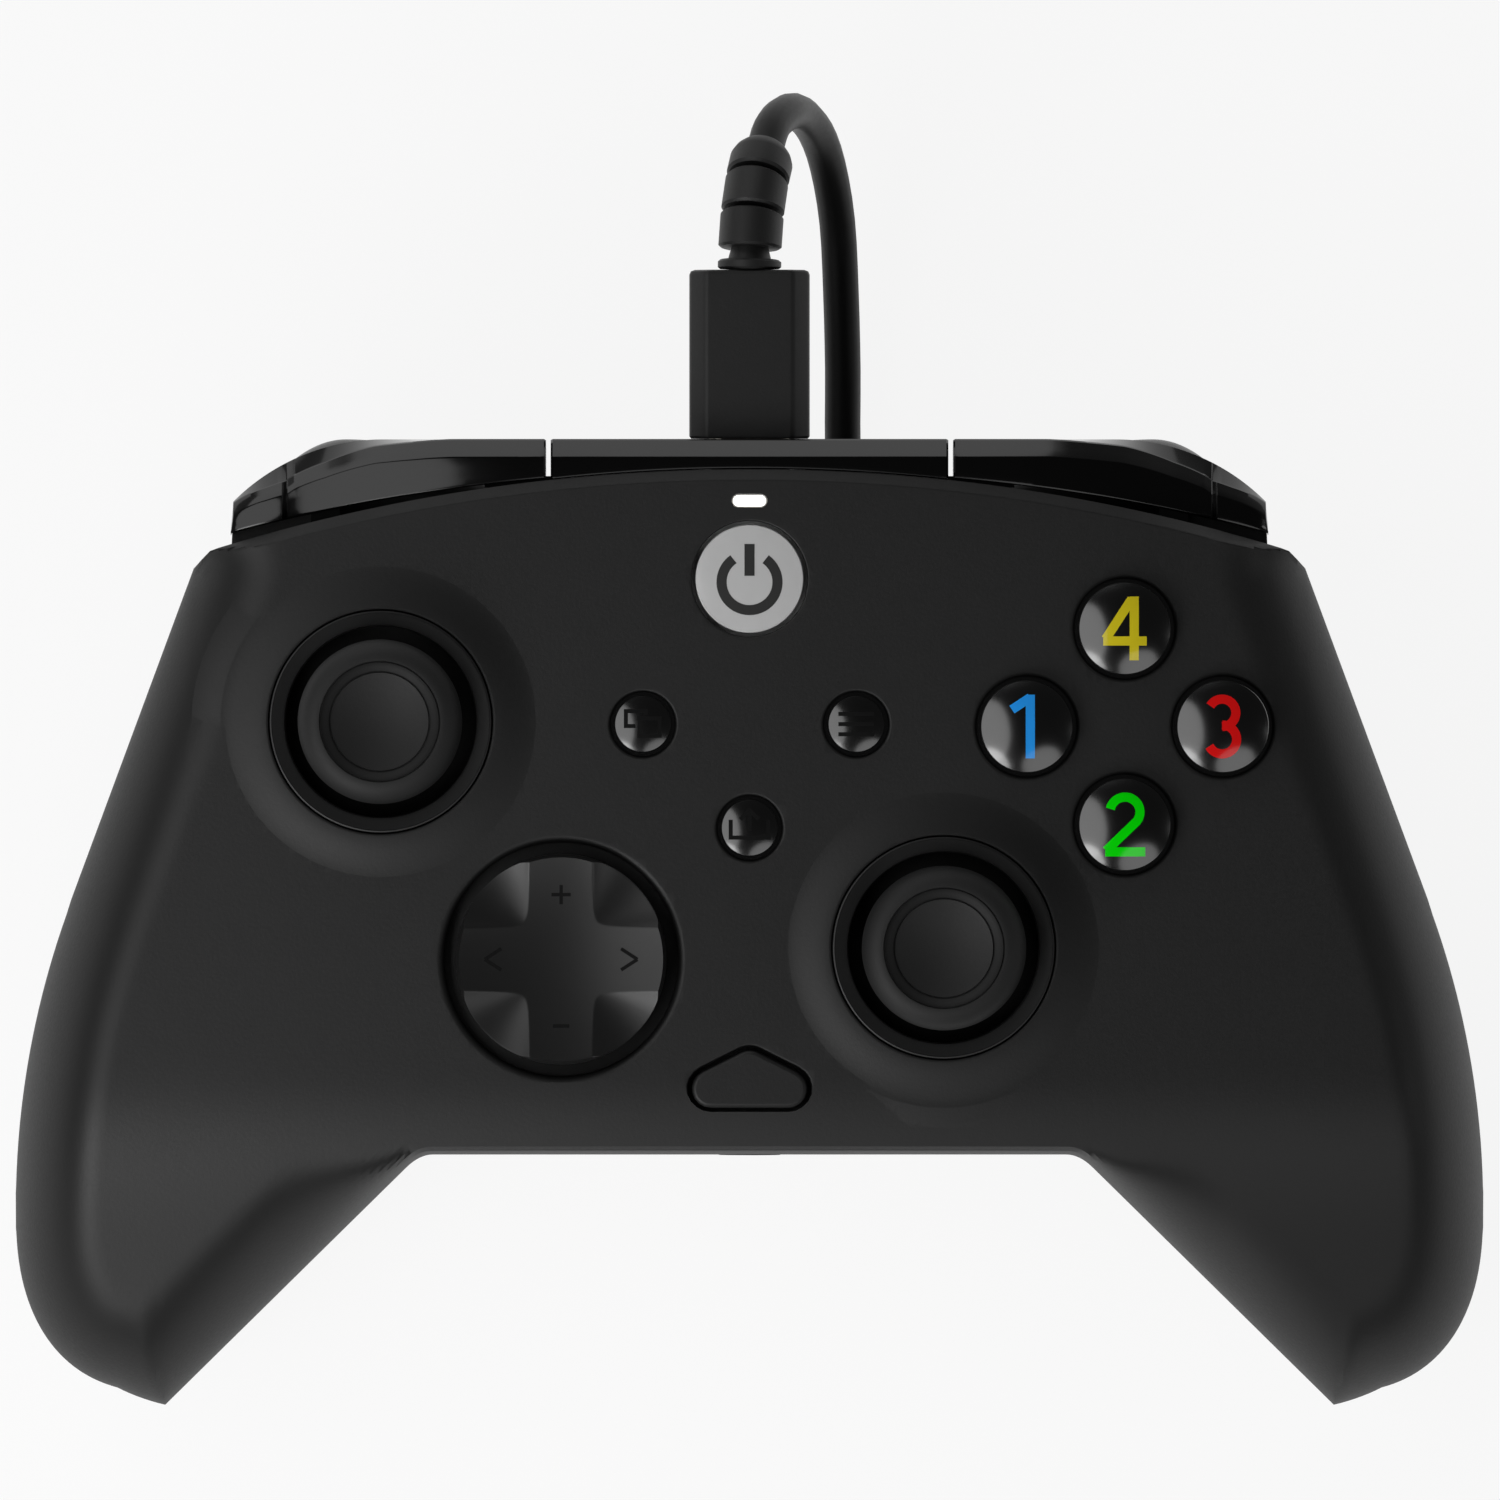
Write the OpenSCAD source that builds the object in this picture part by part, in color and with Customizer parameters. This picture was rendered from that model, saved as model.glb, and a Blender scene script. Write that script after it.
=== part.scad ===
// Wired gamepad lying face up on a table. Millimetres.
// +X is the player's right, +Y runs away from the player, +Z is up.
// The origin is on the table under the middle of the housing.

/* [Housing] */
// Width across both grips
body_w = 153; // [149:1:157]
// Height of the flat face above the table
face_z = 47; // [46:0.5:50]
// Wall of both shells
wall = 2.2; // [1.8:0.1:2.4]
// Distance of the front edge from the origin, on the centre line
front_y = 47.2; // [46.8:0.1:47.4]
// Radius of the long front edge in plan
front_r = 190; // [180:5:220]
// Rear edge between the grips
notch_y = 24.1; // [23.5:0.1:26]
// Half width of the straight rear edge
notch_x = 34.4; // [32:0.2:36]
// Rounding of the grips above the parting line
crown_r = 9; // [7:0.5:11]
// Rounding of the rear edge between the grips
rear_round_r = 3.2; // [2.6:0.1:3.4]
// Rounding of the grips below the parting line
grip_round_r = 15; // [12:0.5:17]
// Underside of the housing between the grips
belly_z = 20; // [19.6:0.1:20.4]
// Fall of the upper side towards the tips of the grips
grip_fall = 10; // [6:0.5:13]
// Height of the parting line above the origin
parting_z = 31; // [30:0.25:31.5]
// Seam between the two shells
seam = 0.2; // [0.1:0.05:0.3]

/* [Face buttons] */
// Diameter of a face button
face_d = 9.6; // [8.6:0.1:9.8]
// Distance from the middle of the group to a face button
face_spread = 10.15; // [9.8:0.05:10.6]
// Middle of the face buttons, sideways
face_x = 38.85; // [38:0.05:39.5]
// Middle of the face buttons, fore and aft
face_y = 20.5; // [20:0.1:21]
// Height of a face button over the face
face_rise = 2.9; // [2:0.1:3.5]
// Travel of a face button
face_travel = 1.2; // [0.8:0.1:1.3]

/* [Centre buttons] */
// Diameter of the view, menu and share buttons
small_d = 5.9; // [5:0.1:6.4]
// Distance of the view and menu buttons from the centre line
small_x = 11.05; // [10.5:0.05:12]
// Row of the view and menu buttons
small_y = 20.75; // [20:0.05:22]
// Share button, fore and aft
share_y = 10; // [9:0.1:11]
// Height of a small button over the face
small_rise = 1.1; // [0.8:0.1:1.6]
// Travel of a small button
small_travel = 0.9; // [0.6:0.1:1.1]
// Diameter of the guide button
guide_d = 11.2; // [10.4:0.1:11.6]
// Guide button, fore and aft
guide_y = 35.8; // [35.4:0.1:36]
// Width of the function button
function_w = 12; // [11:0.1:12.6]
// Depth of the function button
function_h = 6; // [5.4:0.1:6.4]
// Function button, fore and aft
function_y = -16; // [-16.4:0.1:-15.4]
// Side gap round every button
button_gap = 0.4; // [0.3:0.05:0.5]

/* [Direction pad] */
// Diameter of the disc
dpad_d = 21.8; // [20.6:0.2:22.4]
// Width of the raised cross
dpad_arm = 6.5; // [5.5:0.1:7.5]
// Groove round the disc
dpad_gap = 1.2; // [1.1:0.1:1.4]
// Place of the disc, sideways
dpad_x = -19.5; // [-20:0.1:-19]
// Place of the disc, fore and aft
dpad_y = -3.6; // [-4:0.1:-3]

/* [Thumbsticks] */
// Diameter of a stick cap
cap_d = 17; // [15:0.2:17.6]
// Height of a stick cap over the face
cap_rise = 8.6; // [8:0.2:10]
// Radius of the round skirt under the cap
skirt_r = 14; // [13.8:0.1:14.2]
// Inside diameter of the stick ring
ring_d = 19.8; // [19:0.1:20.2]
// Width of the stick ring
ring_w = 1.6; // [1.3:0.1:1.8]
// Depth of the soft bowl round the ring
bowl_depth = 3; // [2.6:0.1:3.2]
// Radius of the soft bowl
bowl_r = 16.7; // [15.5:0.1:17]
// Left stick, sideways
left_stick_x = -38.2; // [-38.6:0.1:-37.8]
// Left stick, fore and aft
left_stick_y = 21; // [20.6:0.1:21.2]
// Right stick, sideways
right_stick_x = 20.1; // [19.8:0.1:20.4]
// Right stick, fore and aft
right_stick_y = -2.4; // [-2.8:0.1:-2]

/* [Bumpers and triggers] */
// Reach of the bridge and the bumpers before the front edge
nose_reach = 3.1; // [2.8:0.1:3.6]
// Half width of the bridge
bridge_half = 20.6; // [20:0.1:21]
// Height of the bumpers and the bridge under the face
bumper_drop = 0.5; // [0.3:0.1:1]
// Slope along the front of the bumpers and the bridge
bumper_bevel = 1.9; // [1.2:0.1:2.2]
// Radius of a bumper's outer corner in plan
bumper_r = 22; // [20:0.5:24]
// Gap between a bumper and the housing at its hinge
bumper_gap = 0.45; // [0.35:0.05:0.6]
// Swing of a bumper in degrees
bumper_turn = 1.5; // [1:0.1:1.8]
// Diameter of the bumper pins
bumper_pin_d = 1.8; // [1.4:0.1:2]
// Diameter of the trigger pins
trigger_pin_d = 2.5; // [2:0.1:2.8]
// Gap between the bridge and a trigger, sideways
trigger_gap = 4.4; // [4:0.1:5]
// Outer end of a trigger
trigger_end = 47.6; // [47.2:0.1:47.8]
// Wall of a trigger
trigger_wall = 1.8; // [1.4:0.1:2.2]

/* [Inside] */
// Thickness of both circuit boards
board_t = 1.4; // [1:0.1:1.6]
// Upper side of the button board
board_z = 37.2; // [36.8:0.1:37.4]
// Diameter of a rumble motor
motor_d = 12; // [10:0.5:13]
// Length of a rumble motor
motor_l = 14; // [12:0.5:16]
// Thread diameter of the case screws
screw_d = 2.6; // [2:0.1:3]
// Bore of the headset jack
jack_d = 3.6; // [3.5:0.05:3.7]
// Length of the headset jack's bore
jack_l = 14; // [12:0.5:15]

/* [Cable] */
// Diameter of the cord
cord_d = 3.85; // [3.4:0.05:3.9]
// Width of the plug's grip
plug_w = 12.5; // [11:0.1:13]
// Thickness of the plug's grip
plug_h = 6.4; // [5.6:0.1:7]
// Length of the plug's grip
plug_l = 17.5; // [15:0.5:17.5]
// Diameter of the strain relief
relief_d = 6.6; // [5.6:0.1:7]
// Turns of cord in the coil
coil_turns = 12.75; // [12.75:1:13.75]
// Inner radius of the coil's centre line
coil_in = 11.8; // [11:0.1:12]
// Outer radius of the coil's centre line
coil_out = 26.5; // [26.5:0.1:27]
// Rise from one layer of the coil to the next
coil_rise = 4.35; // [4.3:0.01:4.4]

/* [Hidden] */
$fn = 64;

// Clearances and small sizes shared by the pieces
eps = 0.01;
run_gap = 0.3;
fit_gap = 0.15;
small_fn = 24;
seat_fn = 36;

// Plan of the housing, right half
half_w = body_w / 2;
nose_y = front_y + nose_reach;
// Share of the 153 mm width that the places across the pad were taken at
across = body_w / 153;
front_arc_r = front_r * across * across;
side_x = half_w - 5.7;
side_y = 2;
side_slope = 2.677;
grip_y = -30;
grip_r = 91.4;
tip_x = half_w - 15.5;
tip_y = -nose_y;
tip_point = 1.3;
tip_reach = 5;
grip_power = 2.4;
front_round = 1.2;
chin_r = 7;
belly_round_r = 8;
parting_slope = 0.16;
end_step = 0.02;
// Places along a section, from the rear edge to the front edge
skin_rows = [0, 0.02, 0.07, 0.15, 0.27, 0.42, 0.57, 0.72, 0.85, 0.94, 0.975, 0.994, 1];
lining_rows = [0, 0.06, 0.2, 0.45, 0.72, 0.9, 0.98, 1];

function smooth(t) = let (u = min(max(t, 0), 1)) u * u * (3 - 2 * u);
function bulge(t) = let (u = min(max(t, 0), 1)) sqrt(1 - (1 - u) * (1 - u));
function mix(a, b, t) = a + (b - a) * t;
function spaced(p) = [p[0] * across, p[1]];
function front_edge(x) = front_y - front_arc_r + sqrt(front_arc_r * front_arc_r - x * x);
function side_edge(x) =
  x < side_x
  ? side_y + (side_x - x) * side_slope
  : grip_y + sqrt(max(0, grip_r * grip_r - pow(x - half_w + grip_r, 2)));
function upper_edge(x) = min(front_edge(x), side_edge(x));
function grip_edge(x) =
  let (u = (x - tip_x) / (half_w - tip_x))
  grip_y - (grip_y - tip_y - tip_point) * pow(max(0, 1 - pow(u, grip_power)), 1 / grip_power)
  - tip_point * max(0, 1 - (x - tip_x) / tip_reach);
function lower_edge(x) =
  x < notch_x ? -notch_y
  : x < tip_x ? mix(-notch_y, tip_y, (x - notch_x) / (tip_x - notch_x))
  : grip_edge(x);

// Heights of the housing over the plan
grip_start = 34 * across;
grip_full = 50 * across;
rest_end_y = 14;
rise_len = 30;
rise_z = 18;
fall_start = -16;
fall_len = 36;
function parting(y) = parting_z + parting_slope * y;
function grip_share(x) = smooth((x - grip_start) / (grip_full - grip_start));
function top_z(y) = face_z - grip_fall * smooth((fall_start - y) / fall_len);
function under_z(x, y) = mix(belly_z, rise_z * smooth((y - rest_end_y) / rise_len), grip_share(x));

// Stations across the housing, closer together where the plan turns
outer_steps = [19.3, 17.5, 15.5, 13, 10.5, 8, 5.7, 4, 2.5, 1.3, 0.5, 0.1, end_step];
inner_stations = concat(
  [for (f = [0, 0.26, 0.52, 0.78]) f * notch_x],
  [for (f = [0, 0.25, 0.51, 0.77, 0.925]) mix(notch_x, half_w - outer_steps[0], f)]
);
half_stations = concat(inner_stations, [for (s = outer_steps) half_w - s]);
last_station = len(half_stations) - 1;
stations = concat([for (i = [last_station:-1:1]) -half_stations[i]], half_stations);

// A chain of plan points moved inwards by t, side 1 for the upper chain and -1 for the lower
function inset_chain(c, t, side) = [
  for (i = [0:len(c) - 1])
    let (a = c[max(i - 1, 0)], b = c[min(i + 1, len(c) - 1)], v = (b - a) / norm(b - a))
      c[i] - t * side * [-v[1], v[0]]
];
function upper_chain(t) = inset_chain([for (x = stations) [x, upper_edge(abs(x))]], t, 1);
function lower_chain(t) = inset_chain([for (x = stations) [x, lower_edge(abs(x))]], t, -1);
function chain_parts(c) = [for (i = [1:len(c) - 1]) [c[i - 1], c[i]]];
function on_front(p) = front_edge(abs(p[0])) < side_edge(abs(p[0])) + eps;
function side_parts(c) = [for (s = chain_parts(c)) if (!on_front((s[0] + s[1]) / 2)) s];
function end_parts(t) = [for (s = [-1, 1])
  [[s * (half_w - t), grip_y - tip_reach], [s * (half_w - t), grip_y + tip_reach]]];
function part_gap(p, s) =
  let (v = s[1] - s[0], u = min(max((p - s[0]) * v / (v * v), 0), 1))
  norm(p - s[0] - u * v);
function edge_gap(p, parts) = min([for (s = parts) part_gap(p, s)]);

// Height of the skin over plan point p, t inside the outer skin
function upper_skin(p, t, gap, front) =
  let (zp = parting(p[1]), r = mix(rear_round_r, crown_r, grip_share(abs(p[0]))))
  zp + (top_z(p[1]) - t - zp) * min(bulge(gap / r), bulge(front / front_round));
function lower_skin(p, t, gap, front) =
  let (zp = parting(p[1]), x = abs(p[0]), r = mix(belly_round_r, grip_round_r, grip_share(x)))
  zp - (zp - under_z(x, p[1]) - t) * min(bulge(gap / r), bulge(front / chin_r));

// One closed section of the loft between a rear point and a front point
function section(a, b, t, rows, parts) =
  let (
    n = len(rows) - 1,
    row = [for (v = rows) a + (b - a) * v],
    gaps = [for (p = row) edge_gap(p, parts)],
    fronts = [for (p = row) max(0, front_edge(abs(p[0])) - t - p[1])]
  )
  concat(
    [for (j = [0:n]) [row[j][0], row[j][1], upper_skin(row[j], t, gaps[j], fronts[j])]],
    [for (j = [n - 1:-1:1]) [row[j][0], row[j][1], lower_skin(row[j], t, gaps[j], fronts[j])]]
  );

// The whole housing as a solid, t inside its outer skin
module housing_loft(t, rows) {
  hi = upper_chain(t);
  lo = lower_chain(t);
  parts = concat(chain_parts(lo), side_parts(hi), end_parts(t));
  ring = 2 * (len(rows) - 1);
  count = len(stations);
  points = [for (i = [0:count - 1]) each section(lo[i], hi[i], t, rows, parts)];
  walls = [
    for (i = [0:count - 2], k = [0:ring - 1])
      let (a = i * ring + k, b = i * ring + (k + 1) % ring)
        each [[a, b, b + ring], [a, b + ring, a + ring]]
  ];
  first_cap = [for (k = [ring - 1:-1:0]) k];
  last_cap = [for (k = [0:ring - 1]) (count - 1) * ring + k];
  polyhedron(points, concat(walls, [first_cap, last_cap]), convexity = 8);
}

// Everything below or above the slanted parting plane
cut_size = 400;
module below_parting(gap) {
  translate([0, 0, parting_z + gap]) rotate([atan(parting_slope), 0, 0])
    translate([-cut_size / 2, -cut_size / 2, -cut_size]) cube(cut_size);
}
module above_parting(gap) {
  translate([0, 0, parting_z - gap]) rotate([atan(parting_slope), 0, 0])
    translate([-cut_size / 2, -cut_size / 2, 0]) cube(cut_size);
}

// Levels inside the housing
inner_z = face_z - wall;
main_z = belly_z + wall + 1;
main_top = main_z + board_t;
pivot_z = face_z - 16;
pad_t = 0.8;
dome_h = 0.9;
dome_d = 4.4;
dome_top = board_z + pad_t + dome_h;
flange_t = 1.2;
flange_w = 1.1;
flange_top = inner_z - run_gap;
cut_deep = 12;

// Places on the face
face_middle = spaced([face_x, face_y]);
face_spots = [for (way = [[0, 1], [-1, 0], [1, 0], [0, -1]]) face_middle + face_spread * way];
view_spot = spaced([-small_x, small_y]);
menu_spot = spaced([small_x, small_y]);
share_spot = [0, share_y];
guide_spot = [0, guide_y];
dpad_spot = spaced([dpad_x, dpad_y]);
left_stick = spaced([left_stick_x, left_stick_y]);
right_stick = spaced([right_stick_x, right_stick_y]);
sticks = [left_stick, right_stick];
light_y = 43.9;
light_w = 3.4;
light_h = 1.1;
function_corner = 2;

// Screws, posts and motors
screw_spots = [spaced([57.5, 18]), spaced([62, -33])];
screw_seat_z = 22;
screw_head_d = 5.2;
screw_head_t = 2;
screw_len = 14;
well_d = screw_head_d + 1;
boss_wall = 1.5;
button_posts = [for (p = [[-25, 12], [-16, 33], [16, 34], [39, -1.5]]) spaced(p)];
main_posts = [for (p = [[-28, 0], [-12, 31], [8, 31], [32, 18]]) spaced(p)];
post_d = 4.4;
board_screw_d = 1.8;
board_screw_head_d = 3.4;
board_screw_head_t = 0.9;
motor_x = 55 * across;
motor_y = -14;
motor_z = 15;

// Trigger bay
trigger_in = bridge_half + trigger_gap;
trigger_out = trigger_end * across;
pin_y = 40;
pin_z = pivot_z + 2.5;
ear_r = 3;
cheek_t = 1.4;
cheek_gap = 0.4;
bay_in = trigger_in - 2.4;
bay_out = trigger_out + 2.3;
bay_y = pin_y - ear_r - 0.1;
bay_z = face_z - 6.8;

// Jack in the middle of the rear edge
jack_z = main_top + 4.4;
jack_body = 8;
jack_nose_d = 6.4;
jack_step = wall + 2.9;

// Both sides from one drawing of the right side
module on_side(side) {
  if (side > 0) children();
  else mirror([1, 0, 0]) children();
}

// A round hole in the face with a small lead-in
module face_hole(spot, d) {
  lead = 0.5;
  room = flange_w + run_gap;
  translate([spot[0], spot[1], 0]) {
    translate([0, 0, face_z - cut_deep]) cylinder(d = d, h = 2 * cut_deep, $fn = small_fn);
    translate([0, 0, face_z - cut_deep])
      cylinder(d = d + 2 * room, h = flange_top + run_gap - face_z + cut_deep, $fn = small_fn);
    hull() {
      translate([0, 0, face_z - lead]) cylinder(d = d, h = eps, $fn = small_fn);
      translate([0, 0, face_z + eps]) cylinder(d = d + 2 * lead, h = eps, $fn = small_fn);
    }
  }
}

// The function button's rounded triangle, grown by g
module function_shape(g, h) {
  dx = function_w / 2 - function_corner;
  dy = function_h / 2 - function_corner;
  hull() for (p = [[-dx, -dy], [dx, -dy], [0, dy]])
    translate([p[0], function_y + p[1], 0]) cylinder(r = function_corner + g, h = h, $fn = small_fn);
}

// Obround bar along X
module obround(w, h, length) {
  hull() for (s = [-1, 1])
    translate([s * (w - h) / 2, 0, 0]) cylinder(d = h, h = length, $fn = small_fn);
}

// Soft bowl round a stick, cut from the face down to the ring
dpad_lip = 0.9;
dpad_hole_r = dpad_d / 2 + dpad_gap;
module stick_bowl(spot) {
  steps = 6;
  seat_r = ring_d / 2 + ring_w + fit_gap;
  floor_z = face_z - bowl_depth;
  slope = [for (k = [0:steps])
    [mix(seat_r, bowl_r, k / steps), mix(floor_z, face_z, smooth(k / steps))]];
  translate([spot[0], spot[1], 0]) {
    translate([0, 0, face_z - cut_deep]) cylinder(r = seat_r, h = cut_deep, $fn = seat_fn);
    rotate_extrude($fn = seat_fn)
      polygon(concat([[0, face_z + 1], [0, floor_z]], slope, [[bowl_r, face_z + 1]]));
  }
}
boss_inset = 2.1;
module stick_boss(spot) {
  translate([spot[0], spot[1], face_z - bowl_depth - wall])
    cylinder(r = bowl_r - boss_inset, h = bowl_depth + wall / 2, $fn = small_fn);
}

// Opening in the front corners for the triggers
module trigger_bay() {
  corner = 2;
  for (side = [-1, 1]) on_side(side) hull() {
    for (x = [bay_in + corner, bay_out - corner])
      translate([x, bay_y + corner, -1]) cylinder(r = corner, h = bay_z + 1, $fn = 16);
    translate([bay_in, nose_y, -1]) cube([bay_out - bay_in, 10, bay_z + 1]);
  }
}

// Room inside the lower moulding for the trigger frames
module frame_room() {
  for (side = [-1, 1]) on_side(side)
    translate([frame_in - run_gap, frame_back - run_gap, main_z - run_gap])
      cube([frame_out - frame_in + 2 * run_gap, nose_y - frame_back, bay_z - main_z]);
}

// Opening in the front wall for the cable's socket
socket_w = 9.4;
socket_h = 3.6;
socket_z = board_z + socket_h / 2;
socket_l = 7.4;
socket_y = front_y - 0.6;
module socket_cut() {
  room = 1.2;
  translate([-socket_w / 2 - room, front_y - 8, socket_z - socket_h / 2 - room])
    cube([socket_w + 2 * room, 12, socket_h + 2 * room]);
}

// Slot in the front wall for a bumper's finger
finger_x = trigger_out - 3.6;
finger_w = 3;
finger_t = 1;
finger_z = bay_z + run_gap;
module finger_slots() {
  room = 0.8;
  for (side = [-1, 1]) on_side(side)
    translate([finger_x - finger_w / 2 - room, front_edge(finger_x) - 6, finger_z - 0.5])
      cube([finger_w + 2 * room, 8, finger_t + 2 * room]);
}

// Hole for the headset jack
module jack_hole() {
  translate([0, -notch_y - 2, jack_z]) rotate([-90, 0, 0])
    cylinder(d = jack_nose_d + 2 * fit_gap, h = 8, $fn = small_fn);
}

module case_bosses(r) {
  for (side = [-1, 1], p = screw_spots)
    translate([side * p[0], p[1], 0]) cylinder(r = r, h = face_z, $fn = 16);
}

// Upper moulding of the housing
module front_shell() color("#262626") difference() {
  union() {
    difference() {
      housing_loft(0, skin_rows);
      housing_loft(wall, lining_rows);
    }
    intersection() {
      housing_loft(wall / 2, lining_rows);
      union() {
        case_bosses(screw_d / 2 + boss_wall);
        for (p = button_posts) translate([p[0], p[1], board_z])
          cylinder(d = post_d, h = inner_z - board_z + eps, $fn = 12);
        for (p = sticks) stick_boss(p);
      }
    }
  }
  below_parting(seam / 2);
  for (p = face_spots) face_hole(p, face_d + 2 * button_gap);
  for (p = [view_spot, menu_spot, share_spot]) face_hole(p, small_d + 2 * button_gap);
  face_hole(guide_spot, guide_d + 2 * button_gap);
  translate([0, 0, face_z - cut_deep]) function_shape(button_gap, 2 * cut_deep);
  translate([0, 0, face_z - cut_deep])
    function_shape(button_gap + function_lip + run_gap, function_lip_top + run_gap - face_z + cut_deep);
  translate([0, light_y, face_z - cut_deep])
    obround(light_w + 2 * fit_gap, light_h + 2 * fit_gap, 2 * cut_deep);
  translate([dpad_spot[0], dpad_spot[1], 0]) {
    translate([0, 0, face_z - cut_deep]) cylinder(r = dpad_hole_r, h = 2 * cut_deep, $fn = seat_fn);
    translate([0, 0, face_z - dpad_lip])
      cylinder(r1 = dpad_hole_r, r2 = dpad_hole_r + dpad_lip, h = dpad_lip + eps, $fn = seat_fn);
  }
  for (p = sticks) stick_bowl(p);
  for (side = [-1, 1], p = screw_spots)
    translate([side * p[0], p[1], screw_seat_z])
      cylinder(d = screw_d + 2 * fit_gap, h = screw_len + 4, $fn = 24);
  for (p = button_posts)
    translate([p[0], p[1], board_z - 1]) cylinder(d = board_screw_d + 2 * fit_gap, h = 5, $fn = 24);
  trigger_bay();
  socket_cut();
  finger_slots();
  jack_hole();
}

// Cradle that a rumble motor lies in
module motor_cradle() {
  for (side = [-1, 1]) translate([side * motor_x, motor_y, 0]) hull() {
    translate([-motor_d / 2 - 1, -motor_l / 4, motor_z - 2]) cube([motor_d + 2, motor_l / 2, 1]);
    translate([-motor_d / 2, -motor_l / 3, 0]) cube([motor_d, motor_l / 1.5, 1]);
  }
}

// Lower moulding of the housing with both grips
module rear_shell() color("#1f1f1f") difference() {
  union() {
    difference() {
      housing_loft(0, skin_rows);
      housing_loft(wall, lining_rows);
    }
    intersection() {
      housing_loft(wall / 2, lining_rows);
      union() {
        case_bosses(well_d / 2 + boss_wall);
        motor_cradle();
        for (p = main_posts) translate([p[0], p[1], 0]) cylinder(d = post_d, h = main_z, $fn = 12);
      }
    }
  }
  above_parting(seam / 2);
  for (side = [-1, 1], p = screw_spots) translate([side * p[0], p[1], 0]) {
    hull() {
      translate([0, 0, -1]) cylinder(d = well_d + 0.6, h = 1, $fn = small_fn);
      translate([0, 0, screw_seat_z - 1]) cylinder(d = well_d, h = 1, $fn = small_fn);
    }
    cylinder(d = screw_d + 2 * fit_gap, h = face_z, $fn = 24);
  }
  for (side = [-1, 1]) translate([side * motor_x, motor_y, motor_z]) rotate([90, 0, 0])
    cylinder(d = motor_d + 2 * run_gap, h = 2 * motor_l, center = true, $fn = small_fn);
  for (p = main_posts)
    translate([p[0], p[1], main_z - 2.6]) cylinder(d = board_screw_d + 2 * fit_gap, h = 5, $fn = 24);
  trigger_bay();
  frame_room();
  socket_cut();
  jack_hole();
}

// A button with a domed top over a plunger, its flange under the face and its foot over the pad
guide_rise = 0.5;
module round_button(spot, d, rise, travel, sag) {
  foot = dome_top + travel + run_gap;
  top = face_z + rise;
  dome_r = (d * d / 4 + sag * sag) / (2 * sag);
  translate([spot[0], spot[1], 0]) {
    translate([0, 0, foot]) cylinder(d = dome_d, h = flange_top - foot);
    translate([0, 0, flange_top - flange_t]) cylinder(d = d, h = top - sag - flange_top + flange_t);
    intersection() {
      translate([0, 0, top - sag]) cylinder(d = d, h = 2 * sag);
      translate([0, 0, top - dome_r]) sphere(dome_r, $fn = 96);
    }
    translate([0, 0, flange_top - flange_t])
      cylinder(d = d + 2 * (button_gap + flange_w), h = flange_t);
  }
}
module face_button(k, tint) color(tint) round_button(face_spots[k], face_d, face_rise, face_travel, 1.2);
module button_top() face_button(0, "#c8b820");
module button_left() face_button(1, "#1e90f0");
module button_right() face_button(2, "#c80a0a");
module button_bottom() face_button(3, "#00d800");
module small_button(spot) color("#151515") round_button(spot, small_d, small_rise, small_travel, 0.9);
module view_button() small_button(view_spot);
module menu_button() small_button(menu_spot);
module share_button() small_button(share_spot);
module guide_button() color("#c3c3c3") round_button(guide_spot, guide_d, guide_rise, small_travel, 0.4);

// Rounded triangle below the centre buttons
function_rise = 0.7;
function_lip = 0.5;
function_lip_top = flange_top - 1.2;
module function_button() color("#1c1c1c") {
  foot = dome_top + small_travel + run_gap;
  translate([0, 0, foot]) function_shape(0, face_z + function_rise - foot);
  translate([0, 0, function_lip_top - flange_t]) function_shape(button_gap + function_lip, flange_t);
}

// Clear bar that carries the status light to the face
module status_light_pipe() color("#ffffff") translate([0, light_y, 0]) {
  low = socket_z + socket_h / 2 + run_gap;
  translate([0, 0, low]) obround(light_w, light_h, face_z + 0.1 - low);
}

// Direction pad: a dished disc with a raised cross, rocking on a plate over a post
dpad_pivot_z = dome_top + 2.1;
dpad_flange_top = inner_z - 1.7;
dpad_rim = 1.2;
dpad_rise = 2.2;
dish_sag = 1.6;
plate_d = dpad_d - 12.8;
plate_t = 0.9;
ball_r = 1.2;
module dpad_cross(w, z0, z1) {
  intersection() {
    translate([0, 0, z0]) cylinder(d = dpad_d - 1, h = z1 - z0);
    for (turn = [0, 90]) rotate([0, 0, turn])
      translate([-w / 2, -dpad_d / 2, z0]) cube([w, dpad_d, z1 - z0]);
  }
}
module dpad() color("#202020") translate([dpad_spot[0], dpad_spot[1], 0]) {
  low = dpad_flange_top - flange_t;
  r = dpad_d / 2;
  dish_r = (r * r + dish_sag * dish_sag) / (2 * dish_sag);
  rim_z = face_z + dpad_rim;
  difference() {
    translate([0, 0, low + flange_t / 2]) cylinder(d = dpad_d, h = rim_z - low - flange_t / 2);
    translate([0, 0, dpad_pivot_z]) sphere(ball_r + run_gap);
    translate([0, 0, rim_z - dish_sag + dish_r]) sphere(dish_r, $fn = 160);
  }
  dpad_cross(dpad_arm, rim_z - dish_sag - 1, face_z + dpad_rise);
  translate([0, 0, low]) difference() {
    cylinder(r = r + dpad_gap + 0.8, h = flange_t);
    translate([0, 0, dpad_pivot_z - low]) sphere(ball_r + run_gap);
  }
}
module dpad_plate() color("#b8b8b8") translate([dpad_spot[0], dpad_spot[1], dpad_pivot_z]) {
  translate([0, 0, -plate_t / 2]) cylinder(d = plate_d, h = plate_t);
  sphere(ball_r);
}

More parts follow.
